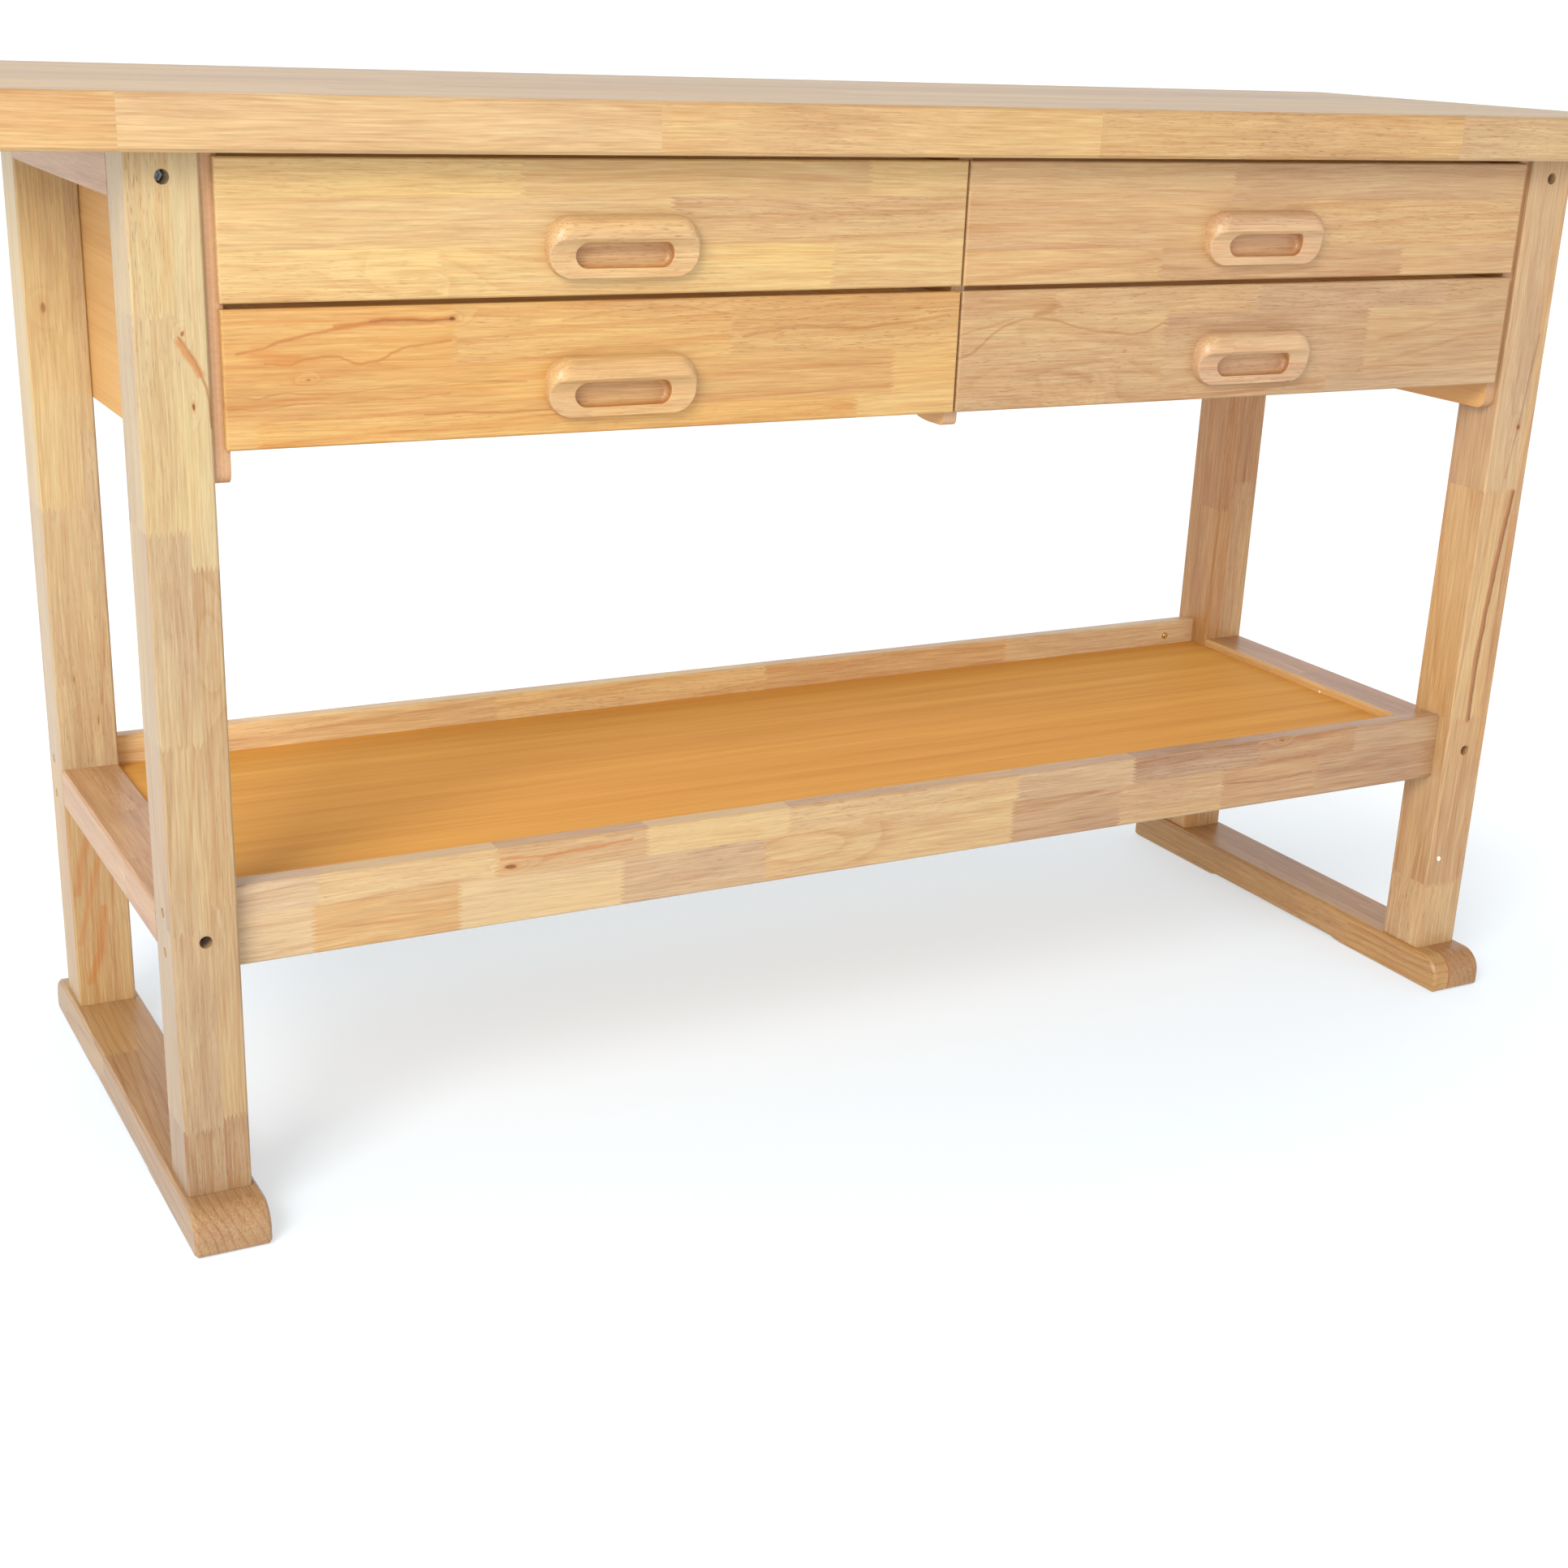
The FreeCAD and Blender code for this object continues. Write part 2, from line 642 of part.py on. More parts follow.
def build_frame():
    bolts, nuts, recesses = end_rail_bolts()
    bores = barrel_nut_bores()
    stretchers, plugs, mouths = stretcher_screws()
    feet_screws, foot_recesses = foot_screws()
    tops = top_screws()
    shelves = shelf_screws()
    domes = rear_rail_screws()
    cases = case_screws()
    nodes["end_rail_bolts"] = bolts
    nodes["barrel_nuts"] = nuts
    nodes["stretcher_screws"] = stretchers
    nodes["stretcher_plugs"] = plugs
    nodes["foot_screws"] = feet_screws
    nodes["top_screws"] = tops
    nodes["shelf_screws"] = shelves
    nodes["rear_rail_screws"] = domes
    nodes["case_screws"] = cases
    for side_name, side in sides.items():
        nodes[side_name + "_foot"] = seated(foot(side), foot_recesses, feet_screws)
        for end_name, end in ends.items():
            name = end_name + "_" + side_name + "_leg"
            nodes[name] = seated(leg(side, end), recesses, stretchers, plugs, mouths, feet_screws,
                                 cases)
        for level, centre in zip(("lower", "upper"), end_rail_centres()):
            name = side_name + "_" + level + "_end_rail"
            nodes[name] = seated(end_rail(side, centre - end_rail_height / 2), recesses, bores, tops)
        nodes[side_name + "_side_panel"] = seated(side_panel(side), cases)
    nodes["front_shelf_rail"] = seated(long_rail(front_rail_front, front_rail_thickness), stretchers)
    nodes["rear_shelf_rail"] = seated(long_rail(rear_rail_front, rear_rail_thickness), stretchers, domes)
    nodes["front_shelf_cleat"] = seated(cleat(front_rail_back, 1), shelves)
    nodes["rear_shelf_cleat"] = seated(cleat(rear_rail_front, -1), shelves)
    nodes["shelf"] = seated(shelf(), shelves)
    nodes["tabletop"] = seated(tabletop(), tops)
    nodes["centre_divider"] = divider()
    nodes["back_panel"] = seated(back_panel(), cases)
    divider_strips = []
    for side_name, side in sides.items():
        panel_strips = [strip(side * panel_inner, -side, bottom) for bottom in row_bottoms.values()]
        divider_strips += [strip(side * divider_face, side, bottom) for bottom in row_bottoms.values()]
        nodes[side_name + "_panel_strips"] = group(panel_strips)
    nodes["divider_strips"] = group(divider_strips)


def build_drawers():
    for row, bottom in row_bottoms.items():
        for side_name, side in sides.items():
            name = row + "_" + side_name + "_drawer_"
            screws = pull_screws(side, bottom)
            nodes[name + "front"] = seated(drawer_front(side, bottom), screws)
            nodes[name + "outer_side"] = drawer_side(side, bottom, True)
            nodes[name + "inner_side"] = drawer_side(side, bottom, False)
            nodes[name + "back"] = drawer_back(side, bottom)
            nodes[name + "bottom"] = drawer_bottom(side, bottom)
            nodes[name + "pull"] = seated(pull(side, bottom), screws)
            nodes[name + "pull_screws"] = screws


build_frame()
build_drawers()
os.makedirs("parts", exist_ok=True)
for node_name, node_shape in nodes.items():
    node_shape.exportStep("parts/" + node_name + ".step")
print(len(nodes), "nodes")
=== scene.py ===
import math

import bmesh
import bpy
from mathutils import Matrix, Vector

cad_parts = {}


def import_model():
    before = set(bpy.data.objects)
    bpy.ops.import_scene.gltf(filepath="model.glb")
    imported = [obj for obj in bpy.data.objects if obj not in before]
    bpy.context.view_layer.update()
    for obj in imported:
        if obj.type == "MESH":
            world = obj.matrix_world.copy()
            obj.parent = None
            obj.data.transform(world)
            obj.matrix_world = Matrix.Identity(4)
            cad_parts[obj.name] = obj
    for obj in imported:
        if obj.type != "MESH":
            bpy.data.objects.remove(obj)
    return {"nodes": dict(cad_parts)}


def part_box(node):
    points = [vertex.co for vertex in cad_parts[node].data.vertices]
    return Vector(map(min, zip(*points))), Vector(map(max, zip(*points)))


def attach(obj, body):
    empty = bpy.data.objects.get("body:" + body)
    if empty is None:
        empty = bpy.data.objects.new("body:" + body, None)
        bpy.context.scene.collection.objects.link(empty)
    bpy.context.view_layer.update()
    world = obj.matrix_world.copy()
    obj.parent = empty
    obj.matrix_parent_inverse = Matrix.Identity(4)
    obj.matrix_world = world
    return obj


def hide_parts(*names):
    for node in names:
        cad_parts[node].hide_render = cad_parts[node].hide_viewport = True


mm = 0.001
weld_gap = 0.001 * mm

# Camera
camera_place = (-1.02028, -1.81008, 0.93273)
camera_right = (0.88085505, -0.47182082, 0.03846422)
camera_down = (-0.13687546, -0.33163217, -0.9334266)
camera_forward = (0.45316608, 0.81694872, -0.35670056)
camera_lens = 51.745
camera_sensor = 36.0
camera_shift = (-0.0022, 0.0519)
camera_reach = 100.0

# Studio; each lamp is (name, place, target, size, power)
floor_reach = 40.0
floor_cove = 4.0
backdrop_height = 30.0
floor_sectors = 96
cove_steps = 10
floor_tint = (184, 189, 193)
floor_roughness = 0.9
floor_specular = 0.1
floor_glow = 0.66
# Painted shadow: round the bench the floor glows less, and bluer against the warm bounce from the wood
shade_glow = 0.5
shade_tint = (237, 247, 254)
shade_reach = (0.45, 1.25)
shade_stretch = (0.9, 1.3, 1.0)
sky_tint = (255, 255, 255)
sky_strength = 0.6
lamps = (
    ("key_light", (-2.6, -2.3, 2.5), (0.0, -0.2, 0.6), 1.5, 110.0),
    ("fill_light", (-1.6, -3.0, 1.0), (0.0, 0.0, 0.7), 1.4, 18.0),
)

# Wood colours, in sRGB of 0 to 255
pale_yellow = (206, 165, 104)
deep_yellow = (176, 107, 44)
pale_pink = (196, 160, 120)
deep_pink = (146, 96, 62)
pore_brown = (126, 70, 32)
# painted highlight on the wood's rounded edges
painted_edge_highlight = (214, 182, 132)
orange_stain = (178, 106, 40)
dark_stain = (98, 56, 28)
filler_white = (245, 240, 230)

# Blocks of laminated wood
shown_board = 44 * mm
shown_block = 330 * mm
board_shift = 0.37
start_shift = 7.7
start_spread = 11.0
tooth_half_pitch = 1.7 * mm
tooth_length = 5.5 * mm

# Growth rings; places are (along the grain, across it, through the board)
ring_width = 17.0 * mm
end_ring_gain = 0.5
end_ring_width = 7.0 * mm
block_shift = (31.7, 17.3, 23.9)
block_draw = 57.0
sway_stretch = (4.0, 16.0, 16.0)
sway_reach = (0.0, 0.012, 0.012)
pith_slope = 0.12
pith_spread = 0.2
pith_depth = (0.012, 0.06)
ring_stretch = (1.2, 8.0, 8.0)
ring_unevenness = 2.2
ring_line = (0.5, 0.94)
ring_strength = (0.05, 0.16)

# Grain: (stretch, detail, roughness) of each noise, and how far it moves the tone
fibre_noise = ((20.0, 900.0, 900.0), 2.0, 0.6)
fibre_shade = (0.25, 0.75, 0.89, 1.08)
tone_noises = (
    ((1.6, 45.0, 45.0), 2.0, 0.5, 0.4),
    ((6.0, 160.0, 160.0), 3.0, 0.6, 0.36),
    ((18.0, 560.0, 560.0), 2.0, 0.6, 1.0),
)
patch_noise = ((4.0, 18.0, 18.0), 2.0, 0.5)
patch_gain = 0.36
patch_warmth = 0.8
pore_noise = ((95.0, 1300.0, 1300.0), 1.0, 0.5)
pore_limits = (0.58, 0.74)
pore_patches = (0.3, 0.62, 0.3, 1.0)
pore_density = (0.2, 0.8)
pore_strength = 0.68
pore_depth = -0.8
fibre_height = 0.5
fibre_roughness = 0.16

# Knots, stains and filled spots, most as shares of their own size
stain_stretch = (30.0, 60.0, 60.0)
stain_sway = (0.012, 0.005, 0.0)
stain_detail = (3.0, 0.6)
knot_fall = -0.12
knot_push = 2.4
knot_halo = (2.2, 0.2)
knot_halo_gain = 0.7
knot_core = (1.0, 0.5)
streak_core = 0.15
chip_core = 0.8

# Lacquer and edges, with a painted edge highlight, painted shade in the pulls' hollows and painted bounce
# light in the case
lacquer_roughness = 0.4
lacquer_coat = 0.25
lacquer_specular = 0.35
coat_roughness = 0.3
bump_strength = 0.12
bump_distance = 0.4 * mm
edge_round = 1.3 * mm
pull_edge_round = 0.4 * mm
bevel_samples = 4
# Painted shade: over this depth the pulls' own hollows darken their wood and turn it more orange, in place of
# shade and bounce light
pull_painted_shade_depth = 22 * mm
painted_shade_samples = 8
# how far the painted edge highlight reaches, as the rounded normal turns from the face's
edge_highlight_limits = (0.995, 0.8, 0.0, 0.15)
painted_shade_limits = (0.25, 0.92)
painted_hollow_shade = (0.7, 0.45, 0.24, 1.0)
open_shade = (1.0, 1.0, 1.0, 1.0)
# Painted bounce light: the drawer boxes, bottoms and strips give off a little light of their own colour
painted_bounce_glow = 0.13

# Plywood
ply_thickness = 1.6 * mm
ply_shade = 0.95
ply_coat = 0.2
ply_sway_stretch = (2.0, 14.0, 14.0)
ply_sway = (0.0, 0.01, 0.01)
ply_fibre = ((7.0, 420.0, 300.0), 3.0, 0.7)
ply_streak = ((1.2, 55.0, 55.0), 4.0, 0.65)
ply_streak_tone = (1.5, -0.5)
ply_fibre_tone = (0.9, -0.2)
ply_edge_shade = (0.25, 0.75, 0.92, 1.06)
ply_edge_turn = 0.7
ply_roughness = 0.15
ply_polish = 0.07

# Metal
speck_stretch = (900.0, 900.0, 900.0)
speck_shade = 0.85
speck_roughness = 0.2


def tint(colour):
    """An sRGB colour of 0 to 255 as the linear colour that a socket takes."""
    shares = [channel / 255 for channel in colour]
    linear = [s / 12.92 if s <= 0.04045 else ((s + 0.055) / 1.055) ** 2.4 for s in shares]
    return (*linear, 1.0)


class Net:
    """A shader tree, with short ways to add nodes and join them."""

    def __init__(self, tree):
        self.tree = tree

    def add(self, kind, inputs, out=0, **settings):
        node = self.tree.nodes.new("ShaderNode" + kind)
        for key, value in settings.items():
            setattr(node, key, value)
        for key, value in inputs.items():
            if isinstance(value, bpy.types.NodeSocket):
                self.tree.links.new(value, node.inputs[key])
            else:
                node.inputs[key].default_value = value
        return node.outputs[out]

    def calc(self, operation, *values):
        return self.add("Math", dict(enumerate(values)), operation=operation)

    def vector(self, operation, *values, out=0):
        return self.add("VectorMath", dict(enumerate(values)), out, operation=operation)

    def times(self, place, factor):
        return self.add("VectorMath", {0: place, "Scale": factor}, operation="SCALE")

    def joined(self, x, y, z):
        return self.add("CombineXYZ", {0: x, 1: y, 2: z})

    def parts(self, place):
        node = self.tree.nodes.new("ShaderNodeSeparateXYZ")
        self.tree.links.new(place, node.inputs[0])
        return node.outputs[0], node.outputs[1], node.outputs[2]

    def noise(self, place, stretch, detail=2.0, roughness=0.5, out="Fac"):
        stretched = self.vector("MULTIPLY", place, stretch)
        return self.add("TexNoise", {"Vector": stretched, "Scale": 1.0, "Detail": detail,
                                     "Roughness": roughness}, out)

    def sway(self, place, stretch, reach, detail=2.0, roughness=0.5):
        """How far a slow noise pushes a place aside, up to half of reach each way."""
        drift = self.noise(place, stretch, detail, roughness, "Color")
        drift = self.vector("SUBTRACT", drift, (0.5, 0.5, 0.5))
        return self.vector("MULTIPLY", drift, reach)

    def spread(self, value, low, high, to_low=0.0, to_high=1.0):
        return self.add("MapRange", {0: value, 1: low, 2: high, 3: to_low, 4: to_high},
                        interpolation_type="SMOOTHSTEP")

    def mix(self, share, first, second):
        return self.add("Mix", {0: share, 6: first, 7: second}, 2, data_type="RGBA")

    def ramp(self, value, stops):
        """A ramp of flat steps: (place, colour) pairs."""
        node = self.tree.nodes.new("ShaderNodeValToRGB")
        node.color_ramp.interpolation = "CONSTANT"
        self.tree.links.new(value, node.inputs[0])
        steps = node.color_ramp.elements
        steps[0].position, steps[0].color = stops[0]
        steps.remove(steps[1])
        for place, colour in stops[1:]:
            steps.new(place).color = colour
        return node.outputs[0]


def group_tree(name, inputs, outputs):
    """A new node group with its sockets; inputs and outputs are (name, kind) pairs."""
    tree = bpy.data.node_groups.new(name, "ShaderNodeTree")
    for title, kind in inputs:
        tree.interface.new_socket(title, in_out="INPUT", socket_type="NodeSocket" + kind)
    for title, kind in outputs:
        tree.interface.new_socket(title, in_out="OUTPUT", socket_type="NodeSocket" + kind)
    start = tree.nodes.new("NodeGroupInput")
    end = tree.nodes.new("NodeGroupOutput")
    return tree, start.outputs, end.inputs


def figure_group():
    """The figure of one block of rubberwood, along X, with its tone, seed and hue from 0 to 1."""
    tree, given, wanted = group_tree(
        "wood_figure",
        [("Place", "Vector"), ("Tone", "Float"), ("Seed", "Float"), ("Hue", "Float"),
         ("Bulge", "Float"), ("Rings", "Float"), ("Ring Width", "Float")],
        [("Colour", "Color"), ("Roughness", "Float"), ("Height", "Float")])
    net = Net(tree)
    place, tone, seed, hue = given["Place"], given["Tone"], given["Seed"], given["Hue"]
    here = net.vector("ADD", place, net.times(block_shift, seed))
    sway = net.sway(here, sway_stretch, sway_reach)
    bent = net.vector("ADD", here, sway)

    # growth rings round a slanting pith line, different in each block
    draw = net.add("TexWhiteNoise", {"W": net.calc("MULTIPLY", seed, block_draw)}, "Color",
                   noise_dimensions="1D")
    first, second, third = net.parts(draw)
    u, v, w = net.parts(net.vector("ADD", place, sway))
    slope = net.calc("MULTIPLY", net.calc("SUBTRACT", third, 0.5), pith_slope)
    pith = net.calc("MULTIPLY", net.calc("SUBTRACT", first, 0.5), pith_spread)
    across = net.calc("SUBTRACT", v, net.calc("MULTIPLY_ADD", u, slope, pith))
    least, more = pith_depth
    deep = net.calc("ADD", w, net.calc("MULTIPLY_ADD", second, more, least))
    reach = net.calc("ADD", given["Bulge"], net.vector("LENGTH", net.joined(across, deep, 0.0), out=1))
    uneven = net.noise(here, ring_stretch, 1.0)
    turns = net.calc("DIVIDE", reach, given["Ring Width"])
    ring = net.calc("FRACT", net.calc("MULTIPLY_ADD", uneven, ring_unevenness, turns))
    low, high = ring_line
    line = net.calc("MULTIPLY", net.spread(ring, low, high), net.spread(ring, high, 1.0, 1.0, 0.0))

    fibre = net.noise(bent, *fibre_noise)
    patch = net.noise(bent, *patch_noise)
    pores = net.spread(net.noise(bent, *pore_noise), *pore_limits)
    least, more = pore_density
    dense = net.calc("MULTIPLY_ADD", second, more, least)
    pores = net.calc("MULTIPLY", pores, net.calc("MULTIPLY", dense, net.spread(patch, *pore_patches)))

    lean = tone
    for stretch, detail, roughness, gain in tone_noises:
        noise = net.noise(bent, stretch, detail, roughness)
        lean = net.calc("MULTIPLY_ADD", net.calc("SUBTRACT", noise, 0.5), gain, lean)
    lean = net.calc("MULTIPLY_ADD", net.calc("SUBTRACT", patch, 0.5), patch_gain, lean)
    shown = net.calc("MULTIPLY", line, net.calc("ADD", given["Rings"], 1.0))
    least, more = ring_strength
    lean = net.calc("MULTIPLY_ADD", shown, net.calc("MULTIPLY_ADD", third, more, least), lean)
    lean = net.add("Clamp", {0: lean})
    patch_lean = net.calc("SUBTRACT", patch, 0.5)
    warm = net.add("Clamp", {0: net.calc("MULTIPLY_ADD", patch_lean, patch_warmth, hue)})
    colour = net.mix(warm, net.mix(lean, tint(pale_yellow), tint(deep_yellow)),
                     net.mix(lean, tint(pale_pink), tint(deep_pink)))
    colour = net.times(colour, net.spread(fibre, *fibre_shade))
    colour = net.mix(net.calc("MULTIPLY", pores, pore_strength), colour, tint(pore_brown))
    height = net.calc("MULTIPLY_ADD", fibre, fibre_height, net.calc("MULTIPLY", pores, pore_depth))
    rough = net.calc("MULTIPLY_ADD", net.calc("SUBTRACT", fibre, 0.5), fibre_roughness, lacquer_roughness)
    tree.links.new(colour, wanted["Colour"])
    tree.links.new(rough, wanted["Roughness"])
    tree.links.new(height, wanted["Height"])
    return tree


def grain_place(net, grain):
    """Object coordinates as (along the grain, across it, through the board)."""
    node = net.tree.nodes.new("ShaderNodeTexCoord")
    x, y, z = net.parts(node.outputs["Object"])
    axes = {"x": x, "y": y, "z": z}
    return [axes[letter] for letter in grain]


def teeth(net, v):
    """How far the finger joints' boundary wanders along the grain at the place v."""
    zig = net.add("Math", {0: v, 1: tooth_half_pitch}, operation="PINGPONG")
    return net.calc("MULTIPLY", zig, tooth_length / tooth_half_pitch)


def drawn_blocks(net, u, v, number, board, block):
    """Tone, seed and hue of boards and blocks laid out by chance."""
    row = net.calc("FLOOR", net.calc("MULTIPLY_ADD", v, 1 / board, number * board_shift))
    start = net.add("TexWhiteNoise", {"W": net.calc("ADD", row, number * start_shift)}, 0,
                    noise_dimensions="1D")
    along = net.calc("MULTIPLY_ADD", net.calc("ADD", u, teeth(net, v)), 1 / block,
                     net.calc("MULTIPLY", start, start_spread))
    cell = net.calc("FLOOR", along)
    draw = net.add("TexWhiteNoise", {"Vector": net.joined(row, cell, float(number))}, "Color",
                   noise_dimensions="3D")
    return net.parts(draw)


def laid_blocks(net, u, v, boards):
    """Tone, seed and hue of boards laid out as listed.

    boards has the board's upper limit in mm and its blocks, each as (start in mm, tone, seed, hue),
    from the lowest board up.
    """
    starts = [block[0] for _, blocks in boards for block in blocks]
    low, high = min(starts), max(starts) + 1
    along = net.calc("ADD", u, teeth(net, v))
    along = net.add("MapRange", {0: along, 1: low * mm, 2: high * mm, 3: 0.0, 4: 1.0})
    chosen, edge = None, None
    for limit, blocks in boards:
        stops = [((start - low) / (high - low), (tone, seed, hue, 1.0)) for start, tone, seed, hue in blocks]
        ramp = net.ramp(along, stops)
        chosen = ramp if chosen is None else net.mix(net.calc("GREATER_THAN", v, edge * mm), chosen, ramp)
        edge = limit
    return net.parts(chosen)


def distance_to(net, place, points):
    """How far a place lies from a line through points in mm along and across the grain."""
    nearest = None
    for start, end in zip(points, points[1:]):
        start = Vector((*start, 0.0)) * mm
        run = Vector((*end, 0.0)) * mm - start
        away = net.vector("SUBTRACT", place, tuple(start))
        share = net.add("Clamp", {0: net.vector("DOT_PRODUCT", away, tuple(run / run.length_squared), out=1)})
        gap = net.vector("DISTANCE", away, net.times(tuple(run), share), out=1)
        nearest = gap if nearest is None else net.calc("MINIMUM", nearest, gap)
    return nearest


def marked(net, place, depth, knots, streaks, chips):
    """How far knots push the growth rings aside, and the orange, dark and white stains.

    knots are (along, across, length, width, darkness), streaks are (half width, orange, dark, points)
    and chips are (along, across, depth, half width), in mm.
    """
    bulge, orange, dark, white = 0.0, 0.0, 0.0, 0.0
    for along, across, length, width, darkness in knots:
        away = net.vector("SUBTRACT", place, (along * mm, across * mm, 0.0))
        away = net.vector("MULTIPLY", away, (1 / (length * mm), 1 / (width * mm), 0.0))
        far = net.vector("LENGTH", away, out=1)
        fall = net.calc("EXPONENT", net.calc("MULTIPLY", net.calc("MULTIPLY", far, far), knot_fall))
        bulge = net.calc("MULTIPLY_ADD", fall, knot_push * ring_width, bulge)
        halo = net.spread(far, *knot_halo, 0.0, knot_halo_gain * darkness)
        orange = net.calc("MAXIMUM", orange, halo)
        dark = net.calc("MAXIMUM", dark, net.spread(far, *knot_core, 0.0, darkness))
    for half, orange_gain, dark_gain, points in streaks:
        near = net.spread(distance_to(net, place, points), half * mm, half * streak_core * mm)
        orange = net.calc("MAXIMUM", orange, net.calc("MULTIPLY", near, orange_gain))
        dark = net.calc("MAXIMUM", dark, net.calc("MULTIPLY", near, dark_gain))
    solid = net.vector("ADD", place, net.joined(0.0, 0.0, depth))
    for along, across, deep, half in chips:
        near = net.vector("DISTANCE", solid, (along * mm, across * mm, deep * mm), out=1)
        white = net.calc("MAXIMUM", white, net.spread(near, half * mm, half * chip_core * mm))
    return bulge, orange, dark, white


def finish_wood(net, colour, rough, height, coat=lacquer_coat, specular=lacquer_specular, hollow=0.0,
                painted_glow=0.0, round_off=edge_round):
    """The lacquered surface over a wood colour, with rounded edges and a painted highlight on them.

    hollow is the depth over which the piece's own hollows get painted shade, darker and more orange,
    and glow is painted bounce light, given off by the wood between the boards of a closed case.
    """
    # Painted shade and painted orange bounce light in the piece's own hollows, by ambient occlusion
    if hollow:
        open_air = net.add("AmbientOcclusion", {"Distance": hollow}, "AO", samples=painted_shade_samples,
                           only_local=True)
        shade = net.mix(net.spread(open_air, *painted_shade_limits), painted_hollow_shade, open_shade)
        colour = net.vector("MULTIPLY", colour, shade)
    soft = net.add("Bevel", {"Radius": round_off}, samples=bevel_samples)
    true = net.tree.nodes.new("ShaderNodeNewGeometry").outputs["Normal"]
    turned = net.vector("DOT_PRODUCT", soft, true, out=1)
    # Painted highlight: the wood turns paler where the rounded edge's normal leaves the face's
    edge = net.spread(turned, *edge_highlight_limits)
    colour = net.mix(edge, colour, tint(painted_edge_highlight))
    bump = net.add("Bump", {"Strength": bump_strength, "Distance": bump_distance, "Height": height,
                            "Normal": soft})
    # The emission here is painted bounce light, not a lamp
    surface = net.add("BsdfPrincipled", {"Base Color": colour, "Roughness": rough, "Normal": bump,
                                         "Coat Weight": coat, "Coat Roughness": coat_roughness,
                                         "Specular IOR Level": specular,
                                         "Emission Color": colour, "Emission Strength": painted_glow})
    end = net.tree.nodes.new("ShaderNodeOutputMaterial")
    net.tree.links.new(surface, end.inputs["Surface"])


def new_material(name):
    """An empty material and its net."""
    made = bpy.data.materials.new(name)
    made.use_nodes = True
    made.node_tree.nodes.clear()
    return made, Net(made.node_tree)


def wood(name, grain, number, board=shown_board, block=shown_block, boards=None, tones=(0.1, 0.75),
         hues=(0.0, 1.0), knots=(), streaks=(), chips=(), rings=0.0, width=ring_width,
         cast=(1.0, 1.0, 1.0), node=None, coat=lacquer_coat, specular=lacquer_specular, hollow=0.0,
         painted_glow=0.0, round_off=edge_round):
    """A laminated wood with its grain along the first letter of grain.

    cast multiplies its colour, and node is the piece whose middle its growth rings lie near.
    """
    made, net = new_material(name)
    u, v, w = grain_place(net, grain)
    if boards:
        tone, seed, hue = laid_blocks(net, u, v, boards)
    else:
        tone, seed, hue = drawn_blocks(net, u, v, number, board, block)
        tone = net.calc("MULTIPLY_ADD", tone, tones[1] - tones[0], tones[0])
        hue = net.calc("MULTIPLY_ADD", hue, hues[1] - hues[0], hues[0])
    figure = made.node_tree.nodes.new("ShaderNodeGroup")
    figure.node_tree = shared["figure"]
    place = net.joined(u, v, w)
    if node:
        middle = [(a + b) / 2 for a, b in zip(*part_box(node))]
        place = net.vector("SUBTRACT", place, tuple(middle["xyz".index(letter)] for letter in grain))
    for title, socket in {"Place": place, "Tone": tone, "Seed": seed, "Hue": hue}.items():
        made.node_tree.links.new(socket, figure.inputs[title])
    figure.inputs["Rings"].default_value = rings
    figure.inputs["Ring Width"].default_value = width
    colour = net.vector("MULTIPLY", figure.outputs["Colour"], cast)
    if knots or streaks or chips:
        flat = net.joined(u, v, 0.0)
        flat = net.vector("ADD", flat, net.sway(flat, stain_stretch, stain_sway, *stain_detail))
        bulge, orange, dark, white = marked(net, flat, w, knots, streaks, chips)
        if knots:
            made.node_tree.links.new(bulge, figure.inputs["Bulge"])
        for share, stain in ((orange, orange_stain), (dark, dark_stain), (white, filler_white)):
            colour = net.mix(share, colour, tint(stain))
    finish_wood(net, colour, figure.outputs["Roughness"], figure.outputs["Height"], coat, specular, hollow,
                painted_glow, round_off)
    return made


def plywood(name, grain, pale, deep, coat=ply_coat, roughness=lacquer_roughness,
            specular=lacquer_specular, cast=(1.0, 1.0, 1.0), edge=None, painted_glow=0.0):
    """A veneered panel: long fine grain in one colour family, with edge as its edges' colour."""
    made, net = new_material(name)
    u, v, w = grain_place(net, grain)
    place = net.joined(u, v, w)
    place = net.vector("ADD", place, net.sway(place, ply_sway_stretch, ply_sway))
    fibre = net.noise(place, *ply_fibre)
    streak = net.noise(place, *ply_streak)
    lean = net.add("Clamp", {0: net.calc("ADD", net.calc("MULTIPLY_ADD", streak, *ply_streak_tone),
                                         net.calc("MULTIPLY_ADD", fibre, *ply_fibre_tone))})
    colour = net.vector("MULTIPLY", net.mix(lean, tint(pale), tint(deep)), cast)
    if edge:
        normal = net.tree.nodes.new("ShaderNodeNewGeometry").outputs["Normal"]
        through = net.parts(normal)["xyz".index(grain[2])]
        wave = net.add("Math", {0: w, 1: ply_thickness}, operation="PINGPONG")
        ply = net.spread(wave, 0.0, ply_thickness)
        plies = net.mix(ply, tint([c * ply_shade for c in edge]), tint(edge))
        plies = net.times(plies, net.spread(fibre, *ply_edge_shade))
        sideways = net.calc("LESS_THAN", net.calc("ABSOLUTE", through), ply_edge_turn)
        colour = net.mix(sideways, colour, plies)
    rough = net.calc("MULTIPLY_ADD", fibre, ply_roughness, roughness - ply_polish)
    finish_wood(net, colour, rough, fibre, coat, specular, painted_glow=painted_glow)
    return made


